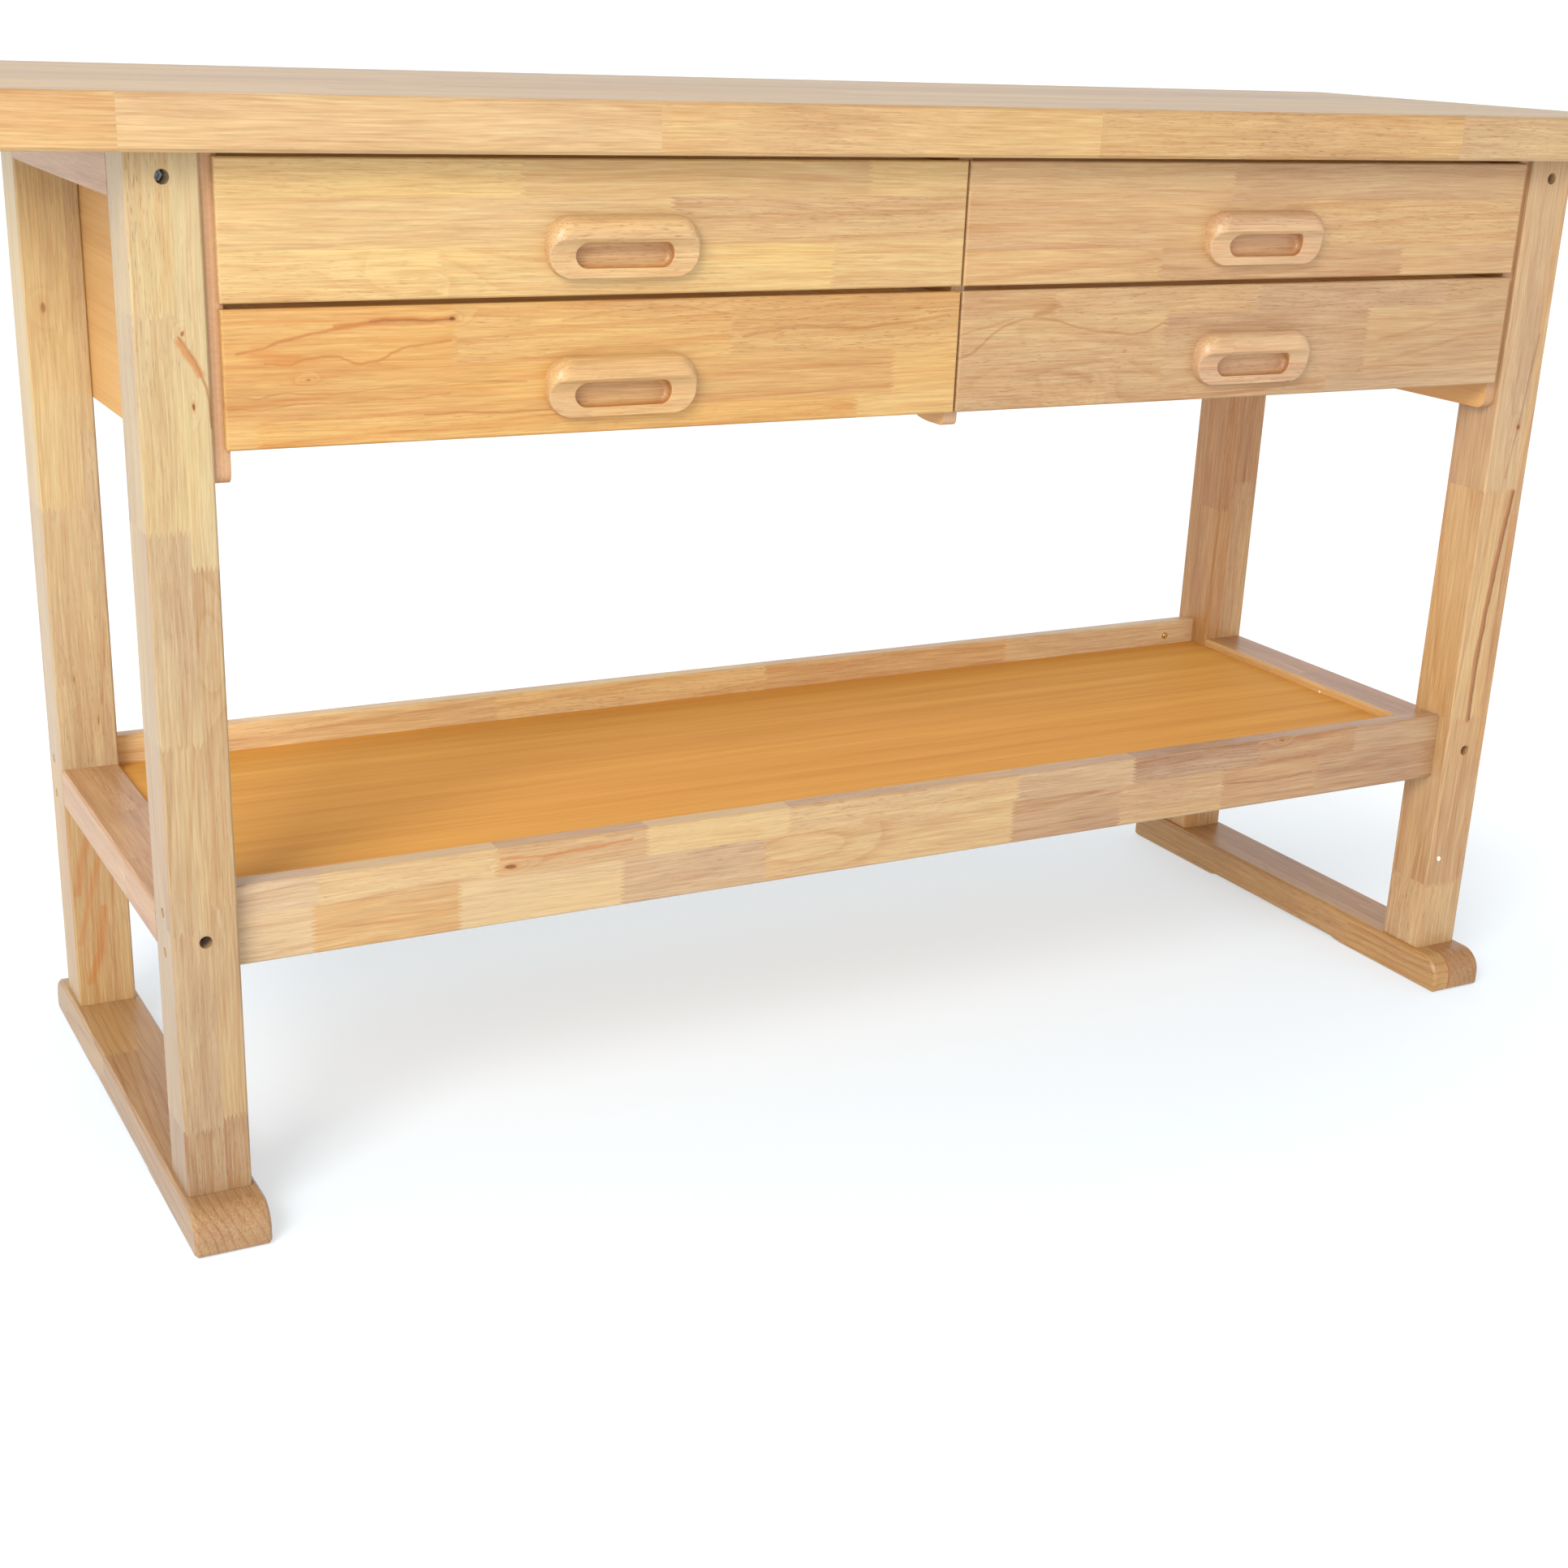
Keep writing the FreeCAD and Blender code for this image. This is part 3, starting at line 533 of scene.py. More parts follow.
def metal(name, colour, roughness):
    """A plated or plain metal with faint unevenness."""
    made, net = new_material(name)
    place = made.node_tree.nodes.new("ShaderNodeTexCoord").outputs["Object"]
    speck = net.noise(place, speck_stretch, 3.0)
    shade = net.mix(speck, tint([c * speck_shade for c in colour]), tint(colour))
    rough = net.calc("MULTIPLY_ADD", speck, speck_roughness, roughness - speck_roughness / 2)
    surface = net.add("BsdfPrincipled", {"Base Color": shade, "Roughness": rough, "Metallic": 1.0})
    end = made.node_tree.nodes.new("ShaderNodeOutputMaterial")
    made.node_tree.links.new(surface, end.inputs["Surface"])
    return made


# Pulls: x along the front, z up from the pull's lower edge, thickness from the front's face, in mm
row_bottoms = {"lower": 622.0, "upper": 724.0}
pull_half_length = 61.5
pull_height = 45.0
pull_corner = 19.0
pull_thickness = 17.0
pull_round = 12.0
crest_rise = 29.5
cove_rise = 16.0
cove_floor = 8.6
cove_sag = 2.36
pull_bottom_edge = 8.0
pocket_half_length = 40.0
pocket_low = 7.5
pocket_high = 26.5
pocket_floor = 1.0
pocket_fillet = 4.5
pocket_fillet_steps = 6
lip_drop = 1.3
pull_rise = 13.0
pull_centre = 304.0
front_face = -224.5
crest_softness = 0.25
crest_blend_rise = 4.0
crest_slope = 0.9
outline_steps = (52, 22, 8)
flank_share = 0.6
face_shares = [0.0, 0.01, 0.025, 0.05, 0.08]
face_shares += [0.12 + 0.04 * step for step in range(13)]
face_shares += [0.63 + 0.018 * step for step in range(17)]
face_shares += [0.93, 0.945, 0.96, 0.972]
lip_rows = ((0.985, 0.15), (1.0, 0.6), (1.0, lip_drop))

# Dome-head screws, in mm
dome_steps = 14
screw_sectors = 64
recess_half_width = 0.75
recess_reach = 2.4
recess_depth = 1.1
recess_slope = 1.6
screw_shank = 1.9


def rounded_outline(half, low, high, radius, straight, corner, side):
    """Points (x, z) round a rectangle with rounded corners, anticlockwise from its lower left."""
    points = []
    inner = half - radius
    sides = [((-inner, low), (inner, low), straight), ((half, low + radius), (half, high - radius), side),
             ((inner, high), (-inner, high), straight), ((-half, high - radius), (-half, low + radius), side)]
    centres = [(inner, low + radius), (inner, high - radius), (-inner, high - radius), (-inner, low + radius)]
    for turn, ((start, end, steps), centre) in enumerate(zip(sides, centres)):
        for step in range(steps):
            share = step / steps
            points.append((start[0] + (end[0] - start[0]) * share, start[1] + (end[1] - start[1]) * share))
        for step in range(corner):
            angle = math.radians(90 * (turn - 1 + step / corner))
            points.append((centre[0] + radius * math.cos(angle), centre[1] + radius * math.sin(angle)))
    return points


def inset_depth(x, z):
    """How far a point of the block's face lies inside its outline."""
    middle = pull_height / 2
    out_x = abs(x) - (pull_half_length - pull_corner)
    out_z = abs(z - middle) - (middle - pull_corner)
    outside = math.hypot(max(out_x, 0), max(out_z, 0)) + min(max(out_x, out_z), 0)
    return pull_corner - outside


def cove_thickness(z):
    """Thickness under the cove at a height: a hollow curve from the crest, then nearly level."""
    if z <= cove_rise:
        return pull_bottom_edge + (cove_floor - pull_bottom_edge) * z / cove_rise
    share = (z - cove_rise) / (crest_rise - cove_rise)
    chord = cove_floor + (pull_thickness - cove_floor) * share
    return chord - 4 * cove_sag * share * (1 - share)


def face_thickness(x, z):
    """Thickness of the milled face, before the pocket, in mm."""
    depth = min(max(inset_depth(x, z), 0), pull_round)
    rolled = pull_thickness - pull_round + math.sqrt(pull_round ** 2 - (pull_round - depth) ** 2)
    if z > crest_rise + crest_blend_rise:
        return rolled
    coved = cove_thickness(z) if z < crest_rise else pull_thickness + (z - crest_rise) * crest_slope
    gap = max(crest_softness - abs(rolled - coved), 0) / crest_softness
    return min(rolled, coved) - gap * gap * crest_softness / 4


def smooth_piece(name, vertices, faces):
    """A new object with its doubled points welded and its faces shaded smooth."""
    mesh = bpy.data.meshes.new(name)
    mesh.from_pydata(vertices, [], faces)
    work = bmesh.new()
    work.from_mesh(mesh)
    bmesh.ops.remove_doubles(work, verts=work.verts, dist=weld_gap)
    bmesh.ops.recalc_face_normals(work, faces=work.faces)
    work.to_mesh(mesh)
    work.free()
    mesh.shade_smooth()
    piece = bpy.data.objects.new(name, mesh)
    bpy.context.scene.collection.objects.link(piece)
    return piece


def pull_piece(name, centre, bottom):
    """One pull as a smooth mesh, its rings running from the outline to the pocket's middle."""
    outer = rounded_outline(pull_half_length, 0.0, pull_height, pull_corner, *outline_steps)
    pocket_radius = (pocket_high - pocket_low) / 2
    inner = rounded_outline(pocket_half_length, pocket_low, pocket_high, pocket_radius, *outline_steps)
    middle = (pocket_low + pocket_high) / 2
    rings = [[(x, 0.0, z) for x, z in outer],
             [(x, face_thickness(x, z) * flank_share, z) for x, z in outer]]
    for share, drop in [(share, 0.0) for share in face_shares] + list(lip_rows):
        ring = []
        for (ox, oz), (ix, iz) in zip(outer, inner):
            x, z = ox + (ix - ox) * share, oz + (iz - oz) * share
            ring.append((x, face_thickness(x, z) - drop, z))
        rings.append(ring)
    floor_steps = []
    for step in range(pocket_fillet_steps + 1):
        angle = math.radians(90 * step / pocket_fillet_steps)
        floor_steps.append((pocket_floor + pocket_fillet * (1 - math.sin(angle)),
                            pocket_fillet * (1 - math.cos(angle))))
    floor_steps.append((pocket_floor, pocket_radius))
    for depth, inward in floor_steps:
        ring = []
        for ix, iz in inner:
            anchor_x = max(min(ix, pocket_half_length - pocket_radius), pocket_radius - pocket_half_length)
            keep = 1 - inward / pocket_radius
            ring.append((anchor_x + (ix - anchor_x) * keep, depth, middle + (iz - middle) * keep))
        rings.append(ring)
    count = len(outer)
    vertices = [((centre + x) * mm, (front_face - t) * mm, (bottom + pull_rise + z) * mm)
                for ring in rings for x, t, z in ring]
    faces = [(r * count + i, r * count + (i + 1) % count, (r + 1) * count + (i + 1) % count,
              (r + 1) * count + i) for r in range(len(rings) - 1) for i in range(count)]
    return smooth_piece(name, vertices, faces)


def screw_piece(name, bases, out, head, dome, shank, length):
    """Dome-head screws with a cross recess: bases are under the heads, out is the head's way along Y."""
    vertices, faces = [], []
    profile = [(0.0, -length), (shank, -length), (shank, 0.0)]
    for step in range(dome_steps + 1):
        angle = math.radians(90 * step / dome_steps)
        profile.append((head * math.cos(angle), dome * math.sin(angle)))
    for x, y, z in bases:
        first = len(vertices)
        for radius, rise in profile:
            for sector in range(screw_sectors):
                turn = math.tau * sector / screw_sectors
                side, up = radius * math.cos(turn), radius * math.sin(turn)
                least, most = sorted((abs(side), abs(up)))
                arm = max(least / recess_half_width, most / recess_reach)
                sunk = recess_depth * min(max(recess_slope * (1 - arm), 0.0), 1.0) if rise > 0 else 0.0
                vertices.append(((x + side) * mm, (y + out * (rise - sunk)) * mm, (z + up) * mm))
        for row in range(len(profile) - 1):
            for sector in range(screw_sectors):
                near, far = first + row * screw_sectors, first + (row + 1) * screw_sectors
                after = (sector + 1) % screw_sectors
                faces.append((near + sector, near + after, far + after, far + sector))
    return smooth_piece(name, vertices, faces)


def set_camera():
    """The camera that was fitted to the photograph."""
    data = bpy.data.cameras.new("camera")
    data.lens = camera_lens
    data.sensor_width = camera_sensor
    data.shift_x, data.shift_y = camera_shift
    data.clip_end = camera_reach
    camera = bpy.data.objects.new("camera", data)
    bpy.context.scene.collection.objects.link(camera)
    back = [-c for c in camera_forward]
    up = [-c for c in camera_down]
    turn = Matrix((camera_right, up, back)).transposed().to_4x4()
    camera.matrix_world = Matrix.Translation(camera_place) @ turn
    bpy.context.scene.camera = camera


def set_studio():
    """A round pale floor that curves up into a backdrop, a soft sky and the lamps."""
    profile = [(0.0, 0.0)]
    for step in range(cove_steps + 1):
        angle = math.radians(90 * step / cove_steps)
        profile.append((floor_reach + floor_cove * math.sin(angle), floor_cove * (1 - math.cos(angle))))
    profile.append((floor_reach + floor_cove, backdrop_height))
    turns = [math.tau * sector / floor_sectors for sector in range(floor_sectors)]
    points = [(r * math.cos(turn), r * math.sin(turn), z) for r, z in profile for turn in turns]
    faces = [(row * floor_sectors + i, row * floor_sectors + (i + 1) % floor_sectors,
              (row + 1) * floor_sectors + (i + 1) % floor_sectors, (row + 1) * floor_sectors + i)
             for row in range(len(profile) - 1) for i in range(floor_sectors)]
    mesh = bpy.data.meshes.new("floor")
    mesh.from_pydata(points, [], faces)
    mesh.shade_smooth()
    floor = bpy.data.objects.new("floor", mesh)
    bpy.context.scene.collection.objects.link(floor)
    made, net = new_material("floor_paint")
    place = net.tree.nodes.new("ShaderNodeTexCoord").outputs["Object"]
    # Round the middle the floor glows less and bluer: a painted shadow under the bench
    away = net.vector("LENGTH", net.vector("MULTIPLY", place, shade_stretch), out=1)
    open_share = net.spread(away, *shade_reach)
    surface = net.add("BsdfPrincipled", {
        "Base Color": tint(floor_tint), "Roughness": floor_roughness,
        "Specular IOR Level": floor_specular,
        "Emission Strength": net.spread(away, *shade_reach, shade_glow, floor_glow),
        "Emission Color": net.mix(open_share, tint(shade_tint), tint(sky_tint))})
    end = net.tree.nodes.new("ShaderNodeOutputMaterial")
    net.tree.links.new(surface, end.inputs["Surface"])
    mesh.materials.append(made)
    world = bpy.data.worlds.new("studio")
    world.use_nodes = True
    sky = world.node_tree.nodes["Background"]
    sky.inputs["Color"].default_value = tint(sky_tint)
    sky.inputs["Strength"].default_value = sky_strength
    bpy.context.scene.world = world
    for name, place, target, size, power in lamps:
        data = bpy.data.lights.new(name, "AREA")
        data.size = size
        data.energy = power
        lamp = bpy.data.objects.new(name, data)
        lamp.location = place
        aim = Vector(target) - Vector(place)
        lamp.rotation_euler = aim.to_track_quat("-Z", "Y").to_euler()
        bpy.context.scene.collection.objects.link(lamp)


# Boards laid out after the photograph: (upper limit in mm, [(start, tone, seed, hue), ...])
lower_left_boards = [
    (641, [(-640, 0.26, 0.11, 0.1), (-582, 0.34, 0.13, 0.0), (-94, 0.14, 0.17, 0.25)]),
    (677, [(-640, 0.46, 0.21, 0.15), (-300, 0.4, 0.23, 0.25), (-60, 0.32, 0.25, 0.25)]),
    (730, [(-640, 0.44, 0.31, 0.0), (-435, 0.36, 0.35, 0.25), (-208, 0.4, 0.38, 0.32)]),
]
upper_left_boards = [
    (760, [(-640, 0.22, 0.41, 0.14), (-446, 0.25, 0.44, 0.14), (-120, 0.28, 0.47, 0.28)]),
    (795, [(-640, 0.25, 0.51, 0.35), (-260, 0.36, 0.53, 0.49)]),
    (830, [(-640, 0.2, 0.57, 0.14), (-380, 0.31, 0.59, 0.35), (-90, 0.2, 0.61, 0.14)]),
]
lower_right_boards = [
    (639, [(-20, 0.31, 0.12, 0.35), (153, 0.42, 0.14, 0.42), (397, 0.31, 0.16, 0.66)]),
    (697, [(-20, 0.31, 0.22, 0.35), (211, 0.42, 0.27, 0.56), (439, 0.34, 0.93, 0.45)]),
    (730, [(-20, 0.42, 0.32, 0.35), (95, 0.28, 0.34, 0.35), (310, 0.42, 0.36, 0.59),
           (530, 0.33, 0.39, 0.42)]),
]
upper_right_boards = [
    (752, [(-20, 0.31, 0.42, 0.28), (200, 0.36, 0.45, 0.42), (470, 0.31, 0.48, 0.42)]),
    (790, [(-20, 0.36, 0.52, 0.42), (330, 0.22, 0.54, 0.21)]),
    (830, [(-20, 0.25, 0.58, 0.35), (270, 0.36, 0.6, 0.56)]),
]
front_rail_boards = [
    (261, [(-640, 0.08, 0.14, 0.6), (-553, 0.42, 0.18, 0.15), (-432, 0.0, 0.23, 0.4), (-288, 0.3, 0.28, 0.68),
           (-151, 0.26, 0.33, 0.3), (103, 0.54, 0.37, 0.68), (224, 0.34, 0.4, 0.35), (346, 0.58, 0.43, 0.5),
           (463, 0.55, 0.46, 0.64)]),
    (300, [(-640, 0.12, 0.49, 0.68), (-547, 0.06, 0.52, 0.26), (-401, 0.34, 0.55, 0.3),
           (-264, 0.0, 0.58, 0.17), (-130, 0.2, 0.62, 0.34), (107, 0.3, 0.66, 0.68),
           (238, 0.52, 0.7, 0.77), (386, 0.62, 0.73, 0.55), (508, 0.55, 0.76, 0.77)]),
]
# Its lowest blocks have deeper tones: painted shade, darker towards the floor
front_left_leg_boards = [
    (-636, [(30, 0.6, 0.15, 0.5), (93, 0.44, 0.19, 0.42), (260, 0.42, 0.21, 0.36), (408, 0.3, 0.24, 0.3),
            (566, 0.2, 0.29, 0.22), (718, 0.16, 0.34, 0.08)]),
    (-600, [(30, 0.65, 0.39, 0.5), (101, 0.52, 0.43, 0.4), (280, 0.42, 0.47, 0.25), (541, 0.04, 0.51, 0.15)]),
]
# Its tones run a step deeper than its wood: painted shade for light falling off to the right
front_right_leg_boards = [
    (655, [(30, 0.4, 0.12, 0.59), (107, 0.5, 0.17, 0.6), (286, 0.36, 0.21, 0.5), (518, 0.4, 0.26, 0.85)]),
    (680, [(30, 0.5, 0.31, 0.7), (111, 0.66, 0.36, 0.68), (243, 0.6, 0.41, 0.5), (496, 0.46, 0.45, 0.68)]),
]
rear_left_leg_boards = [
    (-629, [(30, 0.45, 0.16, 0.1), (268, 0.3, 0.2, 0.45), (505, 0.14, 0.25, 0.12)]),
    (-600, [(30, 0.4, 0.3, 0.15), (268, 0.28, 0.35, 0.45), (570, 0.26, 0.4, 0.2)]),
]
left_foot_boards = [
    (-638.5, [(-260, 0.3, 0.13, 0.7), (60, 0.2, 0.17, 0.5)]),
    (-600, [(-260, 0.35, 0.62, 0.7), (-40, 0.3, 0.26, 0.7)]),
]
right_foot_boards = [
    (630, [(-260, 0.35, 0.33, 0.3), (-120, 0.3, 0.36, 0.4)]),
    (680, [(-260, 0.55, 0.41, 0.7), (-100, 0.5, 0.44, 0.6)]),
]
right_end_rail_boards = [
    (620, [(-175, 0.1, 0.52, 0.0)]),
    (680, [(-175, 0.65, 0.56, 0.8), (20, 0.6, 0.59, 0.7)]),
]
rear_right_leg_boards = [
    (635, [(30, 0.58, 0.18, 0.42), (420, 0.66, 0.22, 0.51)]),
    (680, [(30, 0.46, 0.27, 0.68), (449, 0.62, 0.32, 0.68)]),
]

# Knots: (along, across, length, width, darkness); filled spots: (along, across, depth, half width)
lower_left_knots = [(-438, 710.5, 4, 1.6, 0.95), (-548, 669.5, 2.4, 1.0, 0.5)]
upper_left_knots = [(-470, 738, 16, 7, 0.0)]
lower_right_knots = [(124, 630, 9, 9, 0.0), (84, 652, 30, 7, 0.0), (168, 667, 3, 2, 0.25)]
front_rail_knots = [(-388, 269, 6, 2.2, 0.8), (412, 283, 3, 1.5, 0.7), (-115, 246, 26, 7, 0.0)]
front_left_leg_knots = [(705, -634, 2.2, 1.6, 0.7), (653, -628, 3, 1.3, 0.9), (475, -622, 14, 5, 0.0)]
front_right_leg_knots = [(578, 647, 4, 2.6, 0.8)]
rear_left_leg_knots = [(672, -652, 5, 2.6, 0.5), (351, -650, 5, 0.8, 0.5), (312, -632, 5, 0.8, 0.5)]
front_right_leg_chips = [(134, 628.5, -223, 2.6)]
right_end_rail_chips = [(-29, 616, 261, 1.6), (-140, 616, 269, 1.6)]

# Streaks: (half width, orange, dark, [(along, across), ...])
lower_left_streaks = [
    (8.0, 0.42, 0.0, [(-584, 690), (-570, 686), (-556, 684)]),
    (1.7, 0.55, 0.2, [(-598, 690), (-580, 692), (-567, 697), (-550, 700), (-530, 704), (-515, 707),
                      (-490, 709)]),
    (3.4, 0.75, 0.15, [(-525, 706), (-490, 709), (-460, 709.5), (-437, 711)]),
    (1.1, 0.3, 0.55, [(-500, 709), (-470, 709), (-437, 710.5)]),
    (1.6, 0.5, 0.16, [(-577, 682), (-561, 681), (-550, 684.5), (-535, 686), (-522, 685.5), (-512, 681),
                      (-505, 680), (-495, 682), (-485, 687), (-470, 691), (-455, 692), (-440, 694)]),
    (1.0, 0.12, 0.22, [(-606, 660), (-582, 658), (-566, 661), (-540, 659), (-500, 661), (-440, 664),
                       (-380, 663)]),
    (1.0, 0.12, 0.2, [(-606, 651), (-580, 650), (-557, 653), (-520, 653), (-480, 654), (-440, 656)]),
    (1.2, 0.4, 0.25, [(-460, 641), (-430, 642), (-400, 640.5), (-370, 641.5), (-330, 641)]),
    (1.6, 0.2, 0.1, [(-350, 706), (-310, 712), (-250, 714), (-215, 708)]),
    (2.0, 0.24, 0.2, [(-200, 690), (-175, 694), (-150, 696), (-100, 694), (-50, 697), (-10, 702)]),
]
lower_right_streaks = [
    (1.8, 0.24, 0.24, [(-2, 665), (15, 672), (30, 683), (45, 692), (60, 696), (80, 696.5), (100, 693),
                       (120, 688), (140, 684), (160, 682), (175, 680.5), (190, 682), (200, 687),
                       (208, 690)]),
    (6.0, 0.12, 0.1, [(60, 688), (90, 690), (125, 681), (165, 675), (195, 677)]),
    (4.5, 0.2, 0.22, [(74, 699), (86, 703), (95, 707)]),
    (1.4, 0.1, 0.16, [(0, 684), (25, 690), (50, 697)]),
    (5.0, 0.12, 0.12, [(60, 655), (100, 653), (135, 646)]),
    (2.4, 0.1, 0.12, [(455, 668), (480, 672), (510, 678), (540, 684), (590, 686)]),
    (2.4, 0.1, 0.12, [(455, 650), (480, 652), (510, 658), (560, 668), (600, 671)]),
]
front_rail_streaks = [(2.0, 0.6, 0.05, [(-395, 277), (-360, 274), (-330, 275), (-280, 278)]),
                      (1.2, 0.1, 0.4, [(350, 247), (400, 243), (455, 246)])]
front_left_leg_streaks = [
    (4.4, 0.7, 0.1, [(676, -622), (684, -627), (692, -632), (700, -636)]),
    (1.6, 0.5, 0.35, [(640, -617), (656, -617), (668, -619), (682, -624), (694, -631), (703, -637)]),
    (4.0, 0.14, 0.0, [(720, -650), (750, -640), (790, -646), (820, -640)]),
]
front_right_leg_streaks = [
    (4.6, 0.75, 0.35, [(284, 639), (340, 638), (400, 641), (430, 644), (460, 647), (515, 654)]),
    (2.0, 0.4, 0.75, [(284, 641), (340, 640), (400, 643), (430, 646), (460, 649), (515, 655)]),
    (1.6, 0.1, 0.35, [(530, 640), (578, 647), (620, 651), (665, 656)]),
]
right_foot_streaks = [(1.1, 0.9, 0.5, [(-265, 630), (-228, 630.5)]),
                      (2.4, 0.5, 0.0, [(-265, 631), (-215, 632)])]
rear_left_leg_streaks = [(6.0, 0.5, 0.05, [(60, -655), (90, -645), (130, -640)]),
                         (6.0, 0.45, 0.05, [(150, -662), (175, -657), (200, -650), (230, -640)]),
                         (4.0, 0.4, 0.0, [(100, -662), (140, -652), (180, -640)])]

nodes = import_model()["nodes"]
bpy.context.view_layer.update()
shared = {"figure": figure_group()}

looks = {
    "lower_left_drawer_front": wood("lower_left_front_wood", "xzy", 1, boards=lower_left_boards,
                                    knots=lower_left_knots, streaks=lower_left_streaks,
                                    cast=(0.94, 0.97, 0.86), node="lower_left_drawer_front"),
    "upper_left_drawer_front": wood("upper_left_front_wood", "xzy", 2, boards=upper_left_boards,
                                    knots=upper_left_knots, cast=(0.94, 1.06, 1.12),
                                    node="upper_left_drawer_front"),
    "lower_right_drawer_front": wood("lower_right_front_wood", "xzy", 3, boards=lower_right_boards,
                                     knots=lower_right_knots, streaks=lower_right_streaks,
                                     cast=(0.85, 0.92, 1.05), node="lower_right_drawer_front"),
    "upper_right_drawer_front": wood("upper_right_front_wood", "xzy", 4, boards=upper_right_boards,
                                     cast=(0.9, 0.96, 1.08), node="upper_right_drawer_front"),
    "front_shelf_rail": wood("front_rail_wood", "xzy", 5, boards=front_rail_boards, knots=front_rail_knots,
                             streaks=front_rail_streaks, cast=(0.89, 0.98, 1.15),
                             node="front_shelf_rail"),
    "tabletop": wood("top_wood", "xyz", 6, 42 * mm, 390 * mm, tones=(0.12, 0.42), hues=(0.15, 0.7),
                     cast=(0.93, 1.02, 1.1), node="tabletop", coat=0.08, specular=0.25),
    "front_left_leg": wood("front_left_leg_wood", "zxy", 7, boards=front_left_leg_boards,
                           knots=front_left_leg_knots, streaks=front_left_leg_streaks,
                           cast=(0.77, 0.94, 1.22), node="front_left_leg"),
    "rear_left_leg": wood("rear_left_leg_wood", "zxy", 8, boards=rear_left_leg_boards,
                          knots=rear_left_leg_knots, streaks=rear_left_leg_streaks,
                          cast=(0.88, 1.06, 1.34), node="rear_left_leg"),
    "front_right_leg": wood("front_right_leg_wood", "zxy", 9, boards=front_right_leg_boards,
                            knots=front_right_leg_knots, streaks=front_right_leg_streaks,
                            chips=front_right_leg_chips, cast=(1.0, 1.1, 1.16), node="front_right_leg"),
    "rear_right_leg": wood("rear_right_leg_wood", "zxy", 10, boards=rear_right_leg_boards,
                           cast=(1.06, 1.13, 1.1), node="rear_right_leg"),
    "left_foot": wood("left_foot_wood", "yxz", 11, boards=left_foot_boards, rings=end_ring_gain,
                      width=end_ring_width, cast=(0.74, 0.73, 0.7), node="left_foot"),
    "right_foot": wood("right_foot_wood", "yxz", 12, boards=right_foot_boards, streaks=right_foot_streaks,
                       rings=end_ring_gain, width=end_ring_width, cast=(0.8, 0.78, 0.68),
                       node="right_foot"),
    "right_lower_end_rail": wood("right_end_rail_wood", "yxz", 23, boards=right_end_rail_boards,
                                 chips=right_end_rail_chips, node="right_lower_end_rail"),
    # Its strong cast is painted light: it lifts a rail that the lamps leave in shade
    "rear_shelf_rail": wood("rear_rail_wood", "xzy", 13, 36 * mm, 300 * mm, tones=(0.2, 0.5),
                            hues=(0.1, 0.5), cast=(1.3, 1.6, 2.0), node="rear_shelf_rail"),
    "shelf": plywood("shelf_ply_wood", "xyz", (230, 172, 96), (204, 142, 70), 0.0, 0.6, 0.08,
                     cast=(0.94, 0.96, 0.82)),
    "back_panel": plywood("back_ply_wood", "xzy", (230, 194, 142), (206, 162, 108)),
}
kinds = {
    "end_rail": wood("end_rail_wood", "yxz", 14, 40 * mm, 300 * mm, tones=(0.2, 0.6)),
    "cleat": wood("cleat_wood", "xzy", 15, 40 * mm, 500 * mm),
    "strips": wood("strip_wood", "yzx", 18, 40 * mm, 400 * mm, painted_glow=painted_bounce_glow),
    "side_panel": plywood("side_panel_ply_wood", "yzx", (214, 168, 104), (190, 138, 80),
                          edge=(186, 142, 102)),
    "divider": plywood("divider_ply_wood", "yzx", (214, 168, 104), (190, 138, 80), edge=(186, 146, 108)),
    "side": wood("drawer_side_wood", "yzx", 19, 50 * mm, 600 * mm, tones=(0.1, 0.4), painted_glow=painted_bounce_glow),
    "drawer_back": wood("drawer_back_wood", "xzy", 20, 50 * mm, 600 * mm, tones=(0.1, 0.4),
                        painted_glow=painted_bounce_glow),
    "drawer_bottom": plywood("drawer_bottom_ply_wood", "xyz", (222, 190, 142), (202, 160, 108),
                             painted_glow=painted_bounce_glow),
    # The plugs' cast is painted light against the shade in their sunk holes
    "plugs": wood("plug_wood", "yzx", 21, 40 * mm, 400 * mm, tones=(0.1, 0.3), hues=(0.2, 0.4),
                  cast=(1.5, 1.5, 1.5)),
    "rear_rail_screws": metal("brass_metal", (226, 190, 110), 0.3),
    "pull_screws": metal("zinc_metal", (210, 212, 215), 0.35),
    "steel": metal("steel_metal", (150, 152, 156), 0.35),
}


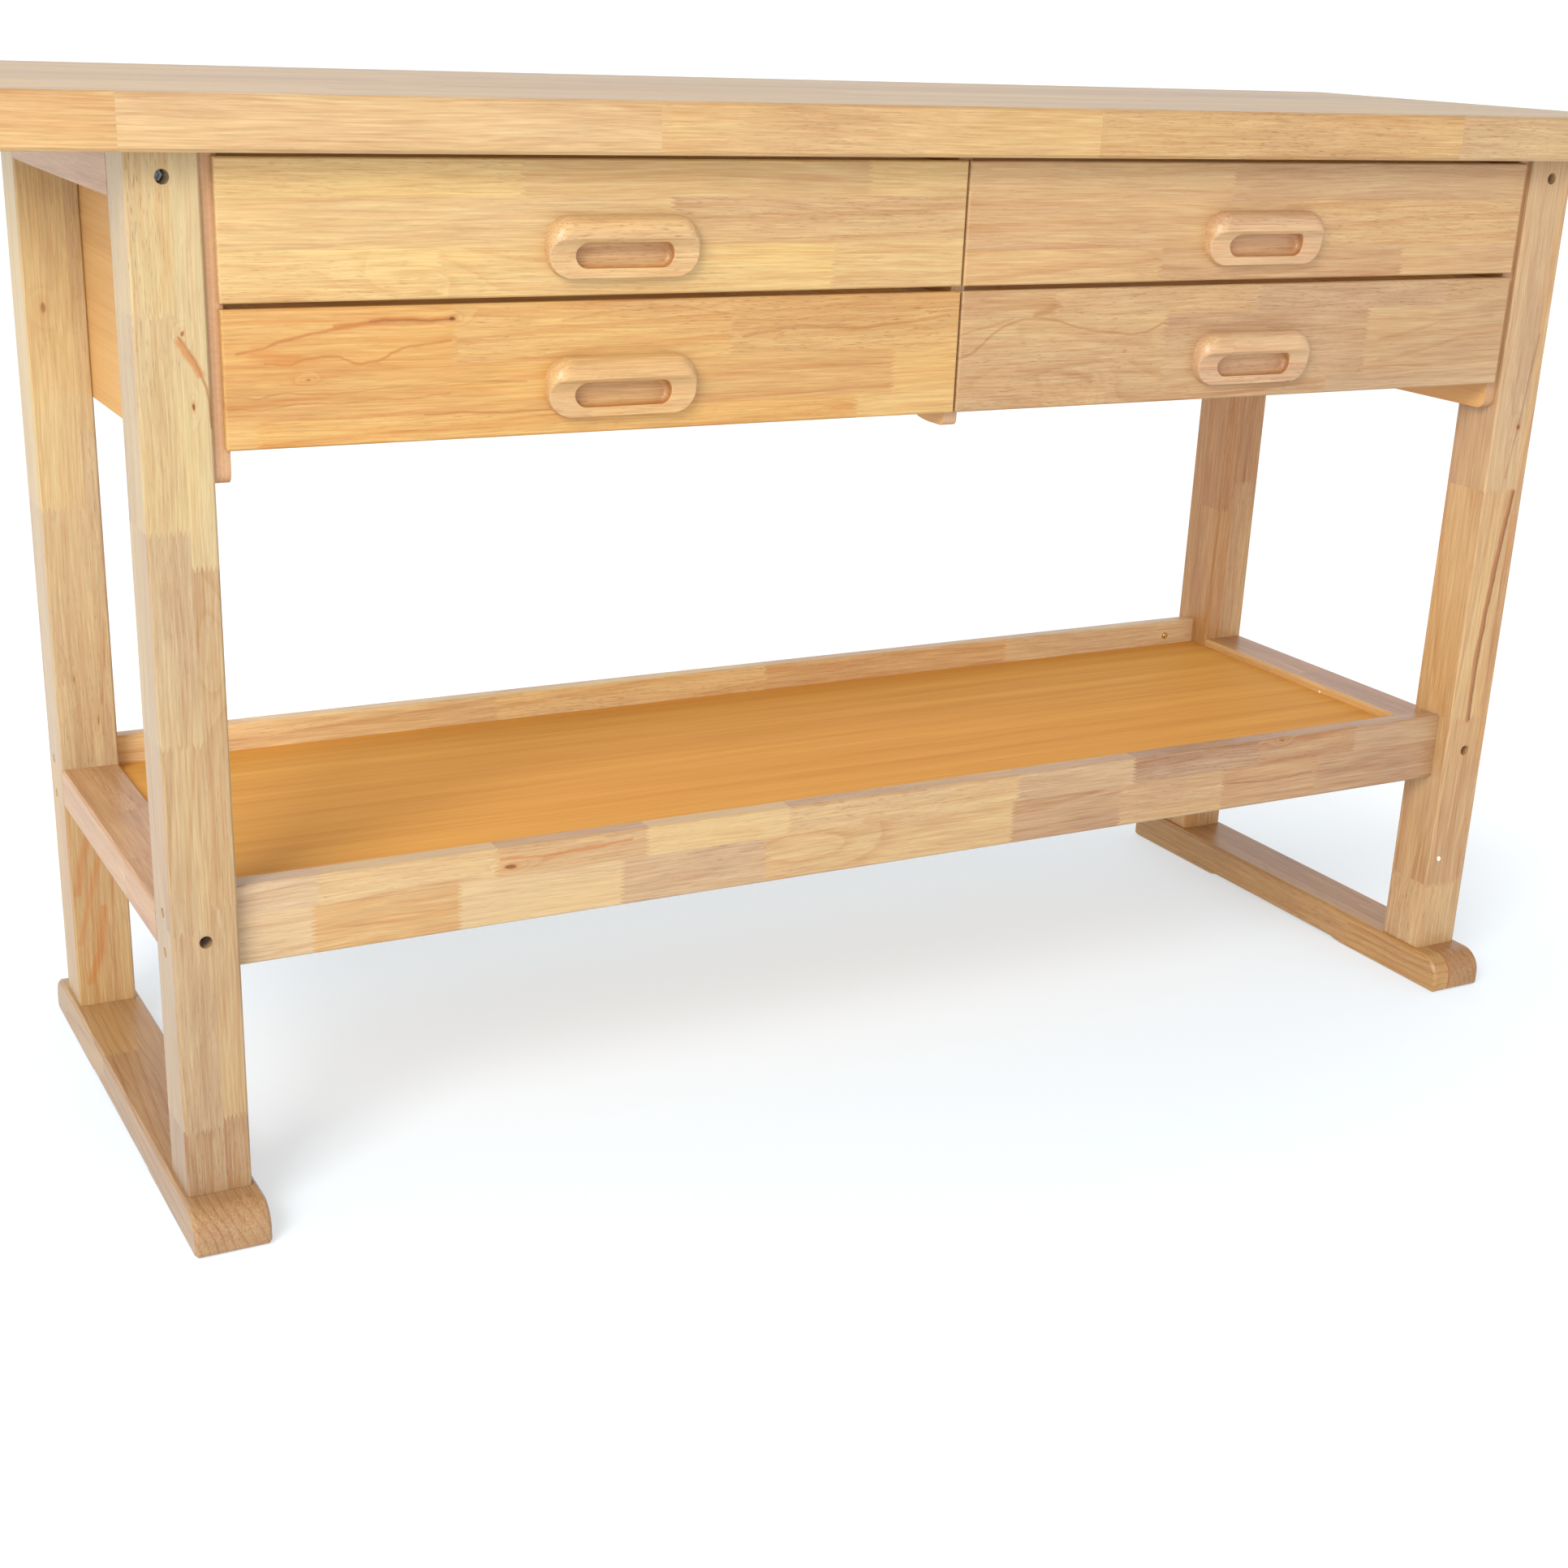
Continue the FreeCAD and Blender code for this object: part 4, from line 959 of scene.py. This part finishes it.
def look_of(name):
    """The material of a CAD node: its own, or its kind's."""
    if name in looks:
        return looks[name]
    if name in ("end_rail_bolts", "barrel_nuts"):
        return kinds["steel"]
    for kind, look in kinds.items():
        if kind in name:
            return look
    return kinds["steel"]


for name, node in nodes.items():
    node.data.materials.clear()
    node.data.materials.append(look_of(name))

# Each pull's wood gets painted shade in its pocket
pull_looks = {
    side: wood(side + "_pull_wood_look", "xzy", 22, 60 * mm, 900 * mm, tones=(0.15, 0.4), hues=(0.45, 0.7),
               cast=cast, hollow=pull_painted_shade_depth, round_off=pull_edge_round)
    for side, cast in (("left", (1.0, 1.06, 1.08)), ("right", (0.96, 1.02, 1.27)))
}
sides = {"left": -1, "right": 1}
for row, bottom in row_bottoms.items():
    for side, hand in sides.items():
        body = row + "_" + side + "_drawer"
        piece = pull_piece(body + "_pull_shape", hand * pull_centre, bottom)
        piece.data.materials.append(pull_looks[side])
        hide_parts(body + "_pull")
        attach(piece, body)

rail_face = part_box("rear_shelf_rail")[0][1]
low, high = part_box("rear_rail_screws")
head = (high[2] - low[2]) / mm / 2
level = (low[2] + high[2]) / mm / 2
bases = [((low[0] / mm + head) * hand, rail_face / mm, level) for hand in (1, -1)]
rail_screws = screw_piece("rear_rail_screw_heads", bases, -1, head, (rail_face - low[1]) / mm,
                          screw_shank, (high[1] - rail_face) / mm)
rail_screws.data.materials.append(kinds["rear_rail_screws"])
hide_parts("rear_rail_screws")
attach(rail_screws, "bench")

for row in row_bottoms:
    for side in sides:
        body = row + "_" + side + "_drawer"
        front_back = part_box(body + "_front")[1][1]
        low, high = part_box(body + "_pull_screws")
        head = (high[2] - low[2]) / mm / 2
        level = (low[2] + high[2]) / mm / 2
        bases = [(low[0] / mm + head, front_back / mm, level), (high[0] / mm - head, front_back / mm, level)]
        piece = screw_piece(body + "_pull_screw_heads", bases, 1, head, (high[1] - front_back) / mm,
                            screw_shank, (front_back - low[1]) / mm)
        piece.data.materials.append(kinds["pull_screws"])
        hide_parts(body + "_pull_screws")
        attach(piece, body)

set_camera()
set_studio()
bpy.context.scene.view_settings.view_transform = "Standard"
